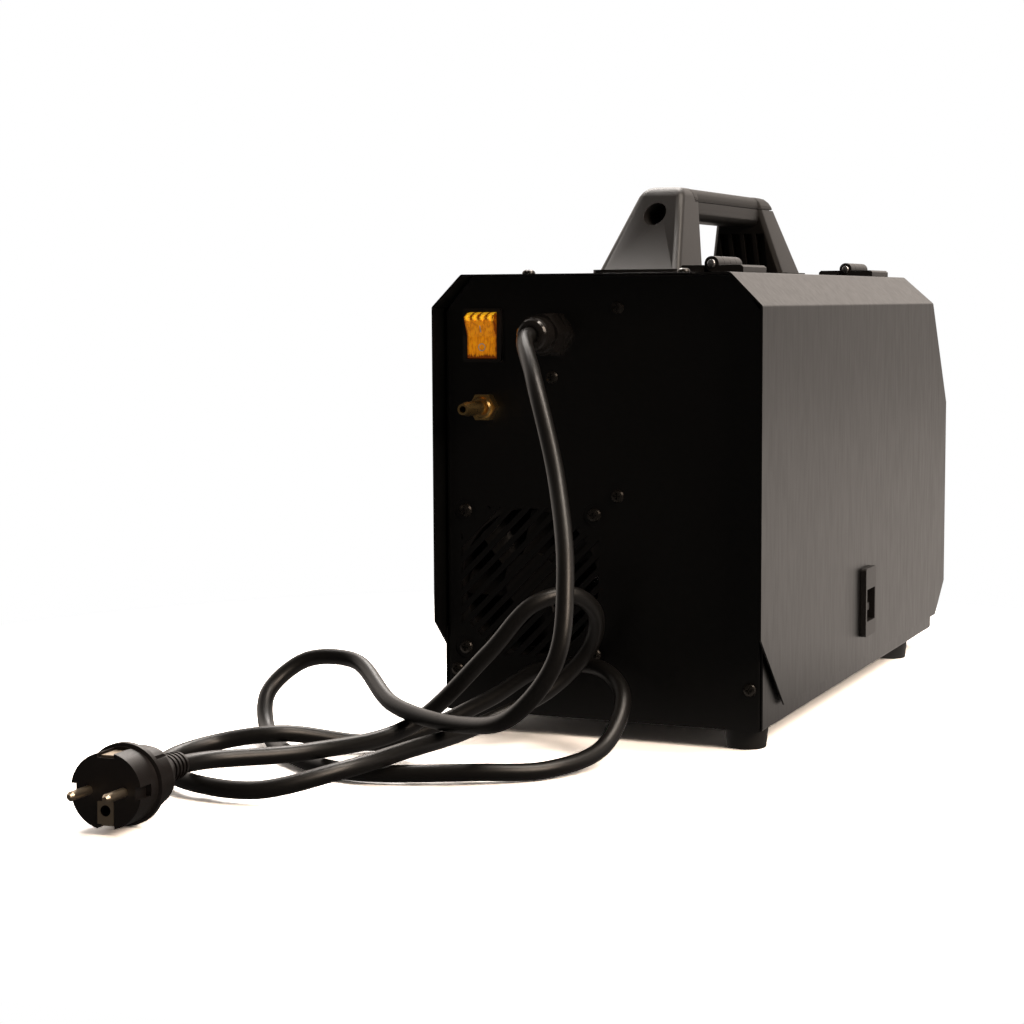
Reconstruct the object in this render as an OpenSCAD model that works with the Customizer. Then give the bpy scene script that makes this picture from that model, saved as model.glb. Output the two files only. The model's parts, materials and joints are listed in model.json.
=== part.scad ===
// Compact MIG welding machine: bent-steel case with a top-hinged side door, wire feeder and
// inverter inside, switch, fan, gas inlet and mains lead at the rear.
// Drawn with the rear panel's outer face on Y = 0, the front towards -Y and the tray's
// underside on Z = 0, then moved so that the origin is under the middle of the machine.

/* [Case] */
// Width over the two covers
case_w = 203; // [194:1:225]
// Height from the tray's underside to the top of the covers
case_h = 261; // [250:1:290]
// Length of the base tray, from panel face to panel face
tray_l = 427; // [415:1:470]
// Width of the sloped corner along each top edge
corner_w = 19; // [14:1:24]
// Thickness of the case's steel sheet
sheet_t = 1; // [0.8:0.1:1.2]
// Inside radius of the bends
bend_r = 1; // [0.6:0.1:1.5]
// How far the covers stand out behind the rear panel
rear_hood = 14; // [8:1:18]
// How far the covers stand out in front of the front panel
front_hood = 31; // [26:1:40]
// Height at which the covers' front edge starts to lean back
slope_z = 168; // [155:1:175]
// How far the covers' front edge leans back on its way up
slope_run = 62; // [50:1:70]
// Height of the covers' bottom edge above the tray's underside
skirt_z = 10.5; // [8:0.5:14]
// Gap between the closed door and the tray's side flange
door_gap = 2; // [1.5:0.5:3]
// Height of the tray's side flanges between the corner ears
flange_h = 28; // [24:1:29]
// Height of the tray's corner ears
ear_h = 50; // [44:1:52]

/* [Feet] */
// Height of the rubber feet
foot_h = 12; // [8:1:16]
// Diameter of a foot at the floor
foot_d = 23; // [18:1:26]
// Distance between the left and right feet
foot_span = 168; // [150:1:170]
// Distance from the rear panel to the rear feet's centres
rear_foot_y = 16; // [15:1:40]
// Distance from the front panel to the front feet's centres
front_foot_y = 68; // [40:1:90]

/* [Door] */
// Distance of the hinge line from the machine's middle
hinge_x = 61; // [56:1:64]
// Height of the hinge pins above the covers
hinge_rise = 5.2; // [5:0.1:6]
// Diameter of the hinge pins
hinge_pin_d = 5; // [4:0.5:5]
// Diameter of the hinge knuckles
knuckle_d = 8.6; // [8:0.2:9]
// Length of one hinge along its pin
hinge_l = 45; // [40:1:50]
// Width of one hinge leaf from the pin's axis
hinge_leaf_w = 19; // [17:1:20]
// Thickness of the hinge leaves
hinge_leaf_t = 4.4; // [4:0.1:4.5]
// Height of the latch plate
latch_h = 45; // [42:1:50]
// Width of the latch plate
latch_w = 26; // [24:1:30]
// How far the latch plate stands out from the door
latch_proud = 3.8; // [3:0.1:5]
// Travel of the latch slider
latch_travel = 9; // [8:0.5:9]

/* [Handle] */
// Length of the handle's foot along the machine
handle_l = 262; // [250:1:280]
// Distance from the rear panel to the handle
handle_y = 62.5; // [55:0.5:75]
// Width of the handle's legs at the foot
handle_foot_w = 52; // [46:1:56]
// Width of the grip
handle_top_w = 27; // [24:1:32]
// Height of the handle above the covers
handle_h = 54; // [50:1:60]
// Height of the grip's solid section
grip_h = 20; // [17:1:22]
// How far the rear leg leans forward
rear_lean = 44; // [36:1:48]
// How far the front leg leans back
front_lean = 37; // [30:1:42]

/* [Rear panel] */
// Depth of the switch's centre below the covers' top
switch_down = 35.7; // [31:0.1:46]
// Distance of the switch from the middle
switch_x = 74.3; // [70:0.1:78]
// Width of the switch bezel
switch_w = 24.7; // [24:0.1:27]
// Height of the switch bezel
switch_h = 31.6; // [30:0.1:33]
// Angle from middle to either end of the rocker's swing
rocker_tilt = 12; // [10:0.5:13]
// Depth of the mains gland's centre below the covers' top
gland_down = 35; // [31:1:41]
// Distance of the mains gland from the middle
gland_x = 30; // [26:1:34]
// Depth of the gas inlet's centre below the covers' top
gas_down = 78; // [71:1:85]
// Distance of the gas inlet from the middle
gas_x = 73; // [68:1:78]
// Frame size of the fan
fan_w = 92; // [90:1:94]
// Depth of the fan's frame
fan_d = 25; // [20:1:28]
// Distance between the fan's screws
fan_pitch = 82.5; // [80:0.5:83]
// Height of the fan's centre
fan_z = 79.7; // [76:0.1:84]
// Distance of the fan's centre from the middle
fan_x = 45.6; // [44:0.1:48]
// Width of one cooling slot
slot_w = 3.8; // [3:0.1:4.2]
// Distance from one cooling slot to the next
slot_pitch = 7.1; // [6.6:0.1:8]

/* [Front panel] */
// Diameter of the two control knobs
knob_d = 26; // [22:1:30]
// Distance between the two knobs
knob_span = 110; // [90:1:120]
// Diameter of the threaded torch socket
torch_d = 38; // [34:1:42]
// Bore of the two lead sockets
lead_bore_d = 13; // [9:0.5:14]
// Distance between the two lead sockets
lead_span = 48; // [44:1:52]

/* [Wire feeder] */
// Distance of the centre wall from the middle
wall_x = 17; // [14:1:19]
// Height of the wire's path through the feeder
wire_z = 122; // [118:1:128]
// Distance of the wire's path from the centre wall
wire_out = 30; // [28:1:34]
// Diameter of the driven roll
roll_d = 30; // [25:1:32]
// Diameter of the pressure roll
press_roll_d = 22; // [20:1:24]
// Diameter of the hub that carries the wire spool
hub_d = 50; // [49:0.5:51]
// Length of the hub
hub_l = 56; // [54:1:58]
// Distance from the rear panel to the spool's axis
hub_y = 122; // [118:1:130]
// Height of the spool's axis
hub_z = 142; // [138:1:148]

/* [Mains lead] */
// Outside diameter of the mains lead
lead_d = 9.5; // [8:0.5:10]
// Distance between the plug's two pins
pin_span = 19; // [17:0.5:20]
// Diameter of the plug's pins
pin_d = 4.8; // [4:0.1:5]

/* [Hidden] */

// Working clearances
slip = 0.2; // between fixed sheets that slide together
run = 0.05; // around a shaft that turns in its bore
near_gap = 0.3; // between pieces on different moving bodies

// Screws
screw_d = 4;
screw_head_d = 7.8;
screw_head_h = 2.6;
leaf_screw_d = 3;

// Levels and planes that several pieces share
half_w = case_w / 2;
tray_right = -(half_w - sheet_t - door_gap);
tray_left = half_w - sheet_t - slip;
panel_right = tray_right + sheet_t + slip;
panel_left = tray_left - sheet_t - slip;
panel_top = case_h - sheet_t - slip;
front_y = -tray_l;
switch_z = case_h - switch_down;
gland_z = case_h - gland_down;
gas_z = case_h - gas_down;
hood_y = -(tray_l + front_hood);
slope_top_y = hood_y + slope_run;
lean_per_h = slope_run / (case_h - slope_z);
slope_angle = atan(lean_per_h);
slope_recess = 20;
knee_z = slope_z + front_hood / lean_per_h - slope_recess / sin(slope_angle);
panel_slope_top_y = front_y + (panel_top - knee_z) * lean_per_h;

// The origin goes under the middle of everything but the mains lead
reach_right = half_w + latch_proud;
reach_left = half_w + screw_head_h;
gland_seat = 7;
gland_nut_l = 15;
gland_dome_l = 12;
reach_rear = gland_seat + gland_nut_l + gland_dome_l;
shift_x = (reach_right - reach_left) / 2;
shift_y = -(hood_y + reach_rear) / 2;

powder = "#1c1b1a";
nylon = "#2a2826";
rubber_black = "#151515";
zinc = "#b9bcc0";
brass = "#c09a4a";
copper = "#b26a3a";
board_green = "#1f5a3a";
aluminium = "#a9adb0";
amber = "#d98a10";

// ---------- helpers ----------

module place() {
    translate([shift_x, shift_y, foot_h]) children();
}

// An outline in X and Z, carried from y towards the front
module along_y(y, length) {
    translate([0, y, 0]) rotate([90, 0, 0]) linear_extrude(length) children();
}

// An outline in Y and Z, carried from x towards +X
module along_x(x, length) {
    translate([x, 0, 0]) rotate([90, 0, 90]) linear_extrude(length) children();
}

// A round bar or hole from y towards the front
module bar_y(x, z, d, y, length, faces = 48) {
    translate([x, y, z]) rotate([90, 0, 0]) cylinder(d = d, h = length, $fn = faces);
}

// A round bar or hole from x towards +X
module bar_x(y, z, d, x, length, faces = 48) {
    translate([x, y, z]) rotate([0, 90, 0]) cylinder(d = d, h = length, $fn = faces);
}

function unit(v) = v / norm(v);
function left_of(v) = [-v.y, v.x];
function leg(path, i) = unit(path[i + 1] - path[i]);
function turned_back(path) = [for (i = [len(path) - 1:-1:0]) path[i]];

// The path moved to its left by a distance, with mitred corners
function moved_left(path, d) = [for (i = [0:len(path) - 1])
    i == 0 ? path[0] + left_of(leg(path, 0)) * d
    : i == len(path) - 1 ? path[i] + left_of(leg(path, i - 1)) * d
    : let (n1 = left_of(leg(path, i - 1)), n2 = left_of(leg(path, i)))
        path[i] + (n1 + n2) * d / (1 + n1 * n2)];

// The arc that rounds corner b between a and c
function corner_arc(a, b, c, r, steps = 4) = let (
    u = unit(a - b),
    v = unit(c - b),
    half = acos(u * v) / 2,
    o = b + unit(u + v) * r / sin(half),
    s = b + u * r / tan(half) - o,
    e = b + v * r / tan(half) - o,
    a0 = atan2(s.y, s.x),
    turn = (atan2(e.y, e.x) - a0 + 540) % 360 - 180)
    [for (i = [0:steps]) o + r * [cos(a0 + turn * i / steps), sin(a0 + turn * i / steps)]];

function turns_left(path, i) = cross(leg(path, i - 1), leg(path, i)) > 0;

function rounded(path, r_left, r_right) = [for (i = [0:len(path) - 1])
    each (i == 0 || i == len(path) - 1) ? [path[i]]
    : corner_arc(path[i - 1], path[i], path[i + 1], turns_left(path, i) ? r_left : r_right)];

// Section through bent sheet: the path is one face and the sheet lies to its left
module sheet(path, t = sheet_t) {
    polygon(concat(
        rounded(path, bend_r + t, bend_r),
        turned_back(rounded(moved_left(path, t), bend_r, bend_r + t))));
}

// A closed outline with every corner rounded alike
function round_loop(loop, r, steps = 4) = let (n = len(loop)) [for (i = [0:n - 1])
    each corner_arc(loop[(i + n - 1) % n], loop[i], loop[(i + 1) % n], r, steps)];

function box_loop(w, h) = [[-w / 2, -h / 2], [w / 2, -h / 2], [w / 2, h / 2], [-w / 2, h / 2]];

module round_box(w, h, r, steps = 4) {
    polygon(round_loop(box_loop(w, h), r, steps));
}

foot_ys = [-rear_foot_y, front_y + front_foot_y];

// Pan-head screw: head upwards from the origin, shank downwards, cross recess in the head
module pan_screw(d, length, head_d = screw_head_d, head_h = screw_head_h) {
    difference() {
        union() {
            rotate_extrude($fn = 40) polygon([[0, 0], [head_d / 2, 0], [head_d / 2, head_h * 0.35],
                [head_d * 0.42, head_h * 0.75], [head_d * 0.26, head_h], [0, head_h]]);
            translate([0, 0, -length]) cylinder(d = d, h = length, $fn = 32);
        }
        for (a = [0, 90]) rotate(a)
            translate([-head_d * 0.27, -head_d * 0.06, head_h * 0.45])
                cube([head_d * 0.54, head_d * 0.12, head_h]);
    }
}

module nut(across, h, bore) {
    difference() {
        cylinder(d = across / cos(30), h = h, $fn = 6);
        translate([0, 0, -1]) cylinder(d = bore, h = h + 2, $fn = 32);
    }
}

// Turn a child drawn along +Z towards +Y, -Y, -X or +X
module facing_rear() { rotate([-90, 0, 0]) children(); }
module facing_front() { rotate([90, 0, 0]) children(); }
module facing_right() { rotate([0, -90, 0]) children(); }
module facing_left() { rotate([0, 90, 0]) children(); }

// The sloping face of the front panel: u across, v up the slope, w out of the panel
module on_slope(u, v) {
    translate([u, front_y, knee_z]) rotate([90 - slope_angle, 0, 0]) translate([0, v, 0]) children();
}
slope_l = (panel_top - knee_z) / cos(slope_angle);

// ---------- shared outlines ----------

// Side view of both covers in Y and Z
rear_cut_y = -33;
rear_cut_z = 55;
front_cut_y = front_y - 2;
front_cut_z = 33;
module cover_side_view() {
    polygon([[rear_hood, rear_cut_z], [rear_hood, case_h + 1], [slope_top_y - lean_per_h, case_h + 1],
        [hood_y, slope_z], [hood_y, front_cut_z], [front_cut_y, skirt_z], [rear_cut_y, skirt_z]]);
}

// End view of the two panels in X and Z, seated on the tray
panel_corner = corner_w + 1;
module panel_end_view() {
    polygon([[panel_right, sheet_t + bend_r], [panel_right + bend_r, sheet_t],
        [panel_left - bend_r, sheet_t], [panel_left, sheet_t + bend_r],
        [panel_left, case_h - panel_corner - (half_w - panel_left)],
        [half_w - panel_corner - slip, panel_top], [-(half_w - panel_corner - slip), panel_top],
        [panel_right, case_h - panel_corner - (half_w + panel_right)]]);
}

// Screw places shared by a panel and what is behind it
corner_screws = [[panel_right + 6.5, 24], [panel_left - 6.5, 25]];
wall_screw_x = -wall_x + 6.5;
wall_screws = [[wall_screw_x, case_h / 2 + 2], [wall_screw_x, case_h - 19.5]];
shelf_screw = [30.5, case_h - 60];
top_screw_x = 48;
top_screw_y = -7;
front_top_screw_y = panel_slope_top_y + 7;
dimple_d = 14;
dimple_depth = 0.6;
fan_back_y = -sheet_t - dimple_depth;
fan_screw_places = [for (sx = [-1, 1], sz = [-1, 1])
    [fan_x + sx * fan_pitch / 2, fan_z + sz * fan_pitch / 2]];

// ---------- case ----------

ear_l = 34;
ear_slope = 16;
tab_w = 14;
tab_low = 5;
tab_top = fan_z - fan_pitch / 2 - dimple_d / 2 - 1.5;

module base_tray() color(powder) place() difference() {
    union() {
        intersection() {
            along_y(0, tray_l)
                sheet([[tray_right, ear_h], [tray_right, 0], [tray_left, 0], [tray_left, ear_h]]);
            along_x(-case_w, 2 * case_w)
                polygon([[0, 0], [0, ear_h], [-ear_l, ear_h], [-ear_l - ear_slope, flange_h],
                    [front_y + ear_l + ear_slope, flange_h], [front_y + ear_l, ear_h],
                    [front_y, ear_h], [front_y, 0]]);
        }
        for (y = [-sheet_t - slip, front_y + 2 * sheet_t + slip]) {
            translate([tray_right + sheet_t / 2, y - sheet_t, tab_low])
                cube([tab_w, sheet_t, tab_top - tab_low]);
            translate([tray_left - sheet_t / 2 - tab_w, y - sheet_t, tab_low])
                cube([tab_w, sheet_t, tab_top - tab_low]);
        }
    }
    for (sx = [-1, 1], y = foot_ys)
        translate([sx * foot_span / 2, y, -1]) cylinder(d = screw_d + 0.3, h = sheet_t + 2, $fn = 32);
    for (p = corner_screws) bar_y(p.x, p.y, screw_d, 0, 6);
    for (p = corner_screws) bar_y(p.x, p.y, screw_d, front_y + 6, 6);
    for (y = skirt_screw_ys) bar_x(y, skirt_screw_z, screw_d, tray_left - 4, 8);
}

// Pan screws that hold the fixed cover's skirt to the tray
skirt_screw_z = 20;
skirt_screw_ys = [-62, front_y / 2, front_y + 62];

module rubber_feet() color(rubber_black) place()
    for (sx = [-1, 1], y = foot_ys) translate([sx * foot_span / 2, y, -foot_h])
        difference() {
            cylinder(d1 = foot_d, d2 = foot_d + 2.4, h = foot_h, $fn = 64);
            translate([0, 0, -1]) cylinder(d = screw_head_d + 2, h = foot_h / 2 + 1, $fn = 48);
            cylinder(d = screw_d + 0.3, h = foot_h + 1, $fn = 32);
        }

module foot_screws() color(zinc) place()
    for (sx = [-1, 1], y = foot_ys) translate([sx * foot_span / 2, y, 0]) {
        translate([0, 0, -foot_h / 2]) rotate([180, 0, 0]) pan_screw(screw_d, foot_h / 2 + sheet_t + 6);
        translate([0, 0, sheet_t]) nut(7, 3.2, screw_d);
    }

// Cooling slots cut at 45 degrees inside a square whose corners clear the fan's screws
module cooling_slots() {
    field = fan_pitch + 6;
    intersection() {
        difference() {
            square([field, field], center = true);
            for (sx = [-1, 1], sy = [-1, 1]) translate([sx, sy] * fan_pitch / 2)
                rotate(45) square([24, 24], center = true);
        }
        rotate(45) for (i = [-9:9])
            translate([-fan_w, i * slot_pitch - slot_w / 2]) square([2 * fan_w, slot_w]);
    }
}

module rear_panel() color(powder) place() difference() {
    union() {
        difference() {
            intersection() {
                translate([0, 0, sheet_t]) linear_extrude(case_h)
                    sheet([[panel_left, -12], [panel_left, 0], [panel_right, 0], [panel_right, -12]]);
                along_y(1, 20) panel_end_view();
            }
            translate([-case_w, -20, 0]) cube([2 * case_w, 20 - sheet_t, ear_h + 2]);
        }
        translate([-top_screw_x - 12, -14, panel_top - sheet_t])
            cube([2 * top_screw_x + 24, 14 - sheet_t / 2, sheet_t]);
        for (p = fan_screw_places) bar_y(p.x, p.y, dimple_d + 2, -sheet_t / 2, -fan_back_y - sheet_t / 2);
    }
    for (p = fan_screw_places) {
        bar_y(p.x, p.y, dimple_d, 1, 1 + dimple_depth);
        bar_y(p.x, p.y, screw_d + 0.3, 1, 8, 32);
    }
    for (p = concat(corner_screws, wall_screws, [shelf_screw])) bar_y(p.x, p.y, screw_d + 0.3, 1, 4, 32);
    for (sx = [-1, 1]) translate([sx * top_screw_x, top_screw_y, panel_top - 4])
        cylinder(d = screw_d, h = 8, $fn = 32);
    along_y(1, 4) translate([fan_x, fan_z]) mirror([1, 0]) cooling_slots();
    translate([switch_x - switch_w / 2 + 1.5, -4, switch_z - switch_h / 2 + 1.5])
        cube([switch_w - 3, 8, switch_h - 3]);
    bar_y(gland_x, gland_z, gland_thread_d + 0.4, 1, 4);
    bar_y(gas_x, gas_z, gas_thread_d + 0.4, 1, 4);
}

module rear_panel_screws() color(powder) place()
    for (p = concat(corner_screws, wall_screws, [shelf_screw]))
        translate([p.x, 0, p.y]) facing_rear() pan_screw(screw_d, 8);

module front_panel() color(powder) place() difference() {
    intersection() {
        along_x(panel_right, panel_left - panel_right)
            sheet([[panel_slope_top_y + 14, panel_top], [panel_slope_top_y, panel_top], [front_y, knee_z],
                [front_y, sheet_t]]);
        along_y(1, 2 * tray_l) panel_end_view();
    }
    for (p = corner_screws) bar_y(p.x, p.y, screw_d + 0.3, front_y + 2, 4, 32);
    for (sx = [-1, 1]) translate([sx * top_screw_x, front_top_screw_y, panel_top - 4])
        cylinder(d = screw_d, h = 8, $fn = 32);
    bar_y(torch_x, wire_z, torch_d - 8, front_y + 2, 4);
    for (sx = [-1, 1]) bar_y(lead_x + sx * lead_span / 2, lead_z, lead_body_d - 8, front_y + 2, 4);
    for (sx = [-1, 1]) on_slope(sx * knob_span / 2, knob_v) translate([0, 0, -3])
        cylinder(d = 7.4, h = 6, $fn = 48);
    on_slope(0, window_v) translate([-window_w / 2, -window_h / 2, -3]) cube([window_w, window_h, 6]);
    for (sx = [-1, 1]) on_slope(sx * button_span / 2, button_v) translate([0, 0, -3])
        cylinder(d = button_d + 0.6, h = 6, $fn = 48);
    for (p = socket_screws) bar_y(p.x, p.y, leaf_screw_d, front_y + 2, 4, 32);
}

module front_panel_screws() color(powder) place() {
    for (p = corner_screws) translate([p.x, front_y, p.y]) facing_front() pan_screw(screw_d, 8);
    for (p = socket_screws) translate([p.x, front_y - socket_flange_t, p.y]) facing_front()
        pan_screw(leaf_screw_d, 8, 5.6, 2);
}

// Centre wall: feet bent to the left, front edge clear of the control board
wall_top = panel_top - 8;
board_out = 10.2;
board_t = 1.6;
board_room = (board_out + board_t + 3) / cos(slope_angle);
module centre_wall() color(powder) place() difference() {
    x = -wall_x;
    foot = 13;
    union() {
        along_x(x, sheet_t) polygon([[-sheet_t, sheet_t], [-sheet_t, wall_top],
            [panel_slope_top_y + board_room, wall_top], [front_y + board_room, knee_z],
            [front_y + board_room, knee_z - 10], [front_y + sheet_t, knee_z - 20],
                [front_y + sheet_t, sheet_t]]);
        translate([x, front_y + sheet_t, sheet_t]) cube([foot, tray_l - 2 * sheet_t, sheet_t]);
        translate([x, -2 * sheet_t, sheet_t]) cube([foot, sheet_t, wall_top - sheet_t]);
        translate([x, front_y + sheet_t, sheet_t]) cube([foot, sheet_t, knee_z - 20 - sheet_t]);
    }
    for (p = wall_screws) bar_y(p.x, p.y, screw_d, 0, 8, 32);
    bar_x(drive_y, drive_z, motor_shaft_d + 8, x - 2, 4);
    bar_x(-hub_y, hub_z, axle_d, x - 2, 4, 48);
    bar_x(nipple_y, hose_z, hose_d + 3, x - 2, 4, 48);
    for (p = plate_screws) bar_x(p.x, p.y, screw_d, x - 2, 4, 32);
    for (i = [0:5]) translate([x - 1, -250 - i * 11, 205]) cube([3, 5, 30]);
}

louvre_rows = 9;
louvre_pitch = 11;
module fixed_cover() color(powder) place() difference() {
    intersection() {
        along_y(rear_hood, tray_l + rear_hood + front_hood)
            sheet([[half_w, skirt_z], [half_w, case_h - corner_w], [half_w - corner_w, case_h],
                [-hinge_x + seam_half, case_h]]);
        along_x(-case_w, 2 * case_w) cover_side_view();
    }
    for (sx = [-1, 1], y = [top_screw_y, front_top_screw_y]) translate([sx * top_screw_x, y, case_h - 3])
        cylinder(d = screw_d + 0.3, h = 6, $fn = 32);
    for (y = skirt_screw_ys) bar_x(y, skirt_screw_z, screw_d + 0.3, half_w - 3, 6, 32);
    for (p = handle_screw_places) translate([p.x, p.y, case_h - 3])
        cylinder(d = screw_d + 1.3, h = 6, $fn = 32);
    for (y = hinge_ys, dy = hinge_screw_dys)
        translate([-hinge_x + hinge_screw_dx, y + dy, case_h - 3])
            cylinder(d = leaf_screw_d + 0.3, h = 6, $fn = 32);
    for (i = [0:louvre_rows - 1], y = [front_y + 130, front_y + 60])
        translate([half_w - 3, y - 22, 70 + i * louvre_pitch]) cube([6, 44, 4]);
}
seam_half = 1;

module cover_screws() color(powder) place() {
    for (sx = [-1, 1], y = [top_screw_y, front_top_screw_y]) translate([sx * top_screw_x, y, case_h])
        pan_screw(screw_d, 8);
    for (y = skirt_screw_ys) translate([half_w, y, skirt_screw_z]) facing_left() pan_screw(screw_d, 8);
}

// ---------- handle ----------

handle_flange_t = 3;
handle_flange = 3.5;
handle_leg_l = 47;
handle_leg_top_l = 30;
handle_mid_y = -(handle_y + handle_l / 2);
handle_round = 6;
grip_split = 8.5;
grip_gap = 0.5;

// Thin horizontal slice of a leg: u = 0 at the foot and 1 at the top
slice_t = 0.3;
module leg_slice(front, z, inset, u) {
    w = handle_foot_w + (handle_top_w - handle_foot_w) * u;
    l = handle_leg_l + (handle_leg_top_l - handle_leg_l) * u;
    outer = front ? -handle_y - handle_l + front_lean * u : -handle_y - rear_lean * u;
    mid = front ? outer + l / 2 : outer - l / 2;
    translate([0, mid, case_h + z]) linear_extrude(slice_t)
        round_box(w - 2 * inset, l - 2 * inset, 4.5);
}

// A leg's slices from the foot up to the rounded top
module handle_leg(front) {
    top_z = handle_h - handle_round;
    hull() {
        leg_slice(front, handle_flange_t - 1, 0, 0);
        leg_slice(front, top_z, 0, top_z / handle_h);
        for (a = [30, 60, 90]) leg_slice(front, top_z + handle_round * sin(a) - slice_t,
            handle_round * (1 - cos(a)) * 0.75, (top_z + handle_round * sin(a)) / handle_h);
    }
}

grip_rear_y = -handle_y - rear_lean - handle_leg_top_l / 2;
grip_front_y = -handle_y - handle_l + front_lean + handle_leg_top_l / 2;

module grip_section() {
    w = handle_top_w;
    translate([0, case_h + handle_h - grip_h / 2]) polygon(concat(
        corner_arc([-w / 2, 0], [-w / 2, grip_h / 2], [0, grip_h / 2], handle_round),
        corner_arc([0, grip_h / 2], [w / 2, grip_h / 2], [w / 2, 0], handle_round),
        corner_arc([w / 2, 0], [w / 2, -grip_h / 2], [0, -grip_h / 2], 7),
        corner_arc([0, -grip_h / 2], [-w / 2, -grip_h / 2], [-w / 2, 0], 7)));
}

module handle_form() {
    handle_leg(false);
    handle_leg(true);
    along_y(grip_rear_y, grip_rear_y - grip_front_y) grip_section();
}

grip_cover_rear = -handle_y - rear_lean - handle_leg_top_l * 0.55;
module grip_cover_space(extra) {
    translate([-case_w / 2, grip_front_y - 60, case_h + handle_h - grip_split - extra])
        cube([case_w, grip_cover_rear - grip_front_y + 60 + extra, 40]);
}

handle_screw_places = [for (sx = [-1, 1], y = [-handle_y - 22, -handle_y - handle_l + 22]) [sx * 14, y]];
rib_count = 3;

module handle_body() color(nylon) place() difference() {
    union() {
        difference() {
            handle_form();
            grip_cover_space(0);
        }
        for (front = [false, true]) translate([0, front ? -handle_y - handle_l + handle_leg_l / 2
            : -handle_y - handle_leg_l / 2, case_h])
            linear_extrude(handle_flange_t)
                round_box(handle_foot_w + 2 * handle_flange, handle_leg_l + 2 * handle_flange, 6);
        translate([0, handle_mid_y, case_h]) linear_extrude(handle_flange_t - 0.5)
            square([handle_foot_w * 0.7, handle_l - 2 * handle_leg_l], center = true);
    }
    bar_y(0, case_h + 37, 14, -handle_y, 60);
    for (p = handle_screw_places) translate([p.x, p.y, case_h - 1]) cylinder(d = 5.2, h = 19, $fn = 32);
    for (i = [0:rib_count]) translate([-16 + i * 8.6, -handle_y - handle_l + handle_leg_l - 4, case_h + 6])
        rotate([-12, 0, 0]) cube([6, 12, 26]);
    for (i = [0:rib_count]) translate([-16 + i * 8.6, -handle_y - handle_leg_l - 8, case_h + 6])
        rotate([30, 0, 0]) cube([6, 12, 26]);
}

module grip_cover() color(nylon) place() intersection() {
    handle_form();
    translate([0, 0, grip_gap]) grip_cover_space(-grip_gap);
}

module handle_screws() color(zinc) place() for (p = handle_screw_places)
    translate([p.x, p.y, case_h - sheet_t])
    rotate([180, 0, 0]) pan_screw(5, 17, 9.5, 3.2);

// ---------- door and hinges ----------

hinge_z = case_h + hinge_rise;
hinge_ys = [-18, -314];
knuckles = 4;
knuckle_l = hinge_l / knuckles;
hinge_screw_dys = [-11, -34];
hinge_screw_dx = 12.5;

// One leaf of a hinge, drawn for the left side with its knuckles at the given places
module hinge_leaf(first) {
    difference() {
        union() {
            along_y(0, hinge_l) polygon([[knuckle_d / 2 + near_gap, case_h], [hinge_leaf_w, case_h],
                [hinge_leaf_w, case_h + hinge_leaf_t - 1.2], [hinge_leaf_w - 1.5, case_h + hinge_leaf_t],
                [knuckle_d / 2 + near_gap, case_h + hinge_leaf_t]]);
            for (i = [first:2:knuckles - 1]) {
                y = -i * knuckle_l - near_gap / 2;
                bar_y(0, hinge_z, knuckle_d, y, knuckle_l - near_gap);
                along_y(y, knuckle_l - near_gap)
                    polygon([[0, case_h + 0.7], [knuckle_d / 2 + 0.5, case_h + 0.0],
                    [knuckle_d / 2 + 0.5, case_h + hinge_leaf_t], [0, case_h + hinge_leaf_t]]);
            }
        }
        bar_y(0, hinge_z, hinge_pin_d + 2 * run, 1, hinge_l + 2);
        for (dy = hinge_screw_dys) translate([hinge_screw_dx, dy, case_h - 1]) {
            cylinder(d = leaf_screw_d + 0.3, h = 10, $fn = 32);
            translate([0, 0, hinge_leaf_t - 0.7])
                cylinder(d1 = leaf_screw_d, d2 = 6.2, h = 1.75, $fn = 32);
        }
    }
}

module hinge_cover_leaves() color(nylon) place()
    for (y = hinge_ys) translate([-hinge_x, y, 0]) hinge_leaf(1);

module hinge_door_leaves() color(nylon) place()
    for (y = hinge_ys) translate([-hinge_x, y, 0]) mirror([1, 0, 0]) hinge_leaf(0);

module hinge_pins() color(zinc) place()
    for (y = hinge_ys) difference() {
        bar_y(-hinge_x, hinge_z, hinge_pin_d, y + 0.4, hinge_l + 0.8);
        bar_y(-hinge_x, hinge_z, hinge_pin_d * 0.4, y + 1.4, 1.6);
    }

// Countersunk screws and nuts that hold the hinge leaves to the sheet
module leaf_screw() {
    translate([0, 0, case_h + hinge_leaf_t - 1.6])
        cylinder(d1 = leaf_screw_d - 0.3, d2 = 5.8, h = 1.5, $fn = 32);
    translate([0, 0, case_h - sheet_t - 3.4])
        cylinder(d = leaf_screw_d - 0.1, h = hinge_leaf_t + 3, $fn = 32);
    translate([0, 0, case_h - sheet_t - 2.4]) cylinder(d = 6.2, h = 2.4, $fn = 6);
}
module hinge_screws() color(powder) place()
    for (y = hinge_ys, dy = hinge_screw_dys) translate([-hinge_x + hinge_screw_dx, y + dy, 0]) leaf_screw();

latch_y = -220;
latch_z = skirt_z + 37;
latch_window_w = 20;
latch_window_h = 21;
pocket_low = flange_h + near_gap + 0.9;
pocket_wall = 1.5;
slider_h = 17;
pocket_top = pocket_low + slider_h + latch_travel + pocket_wall + 4;

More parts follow.
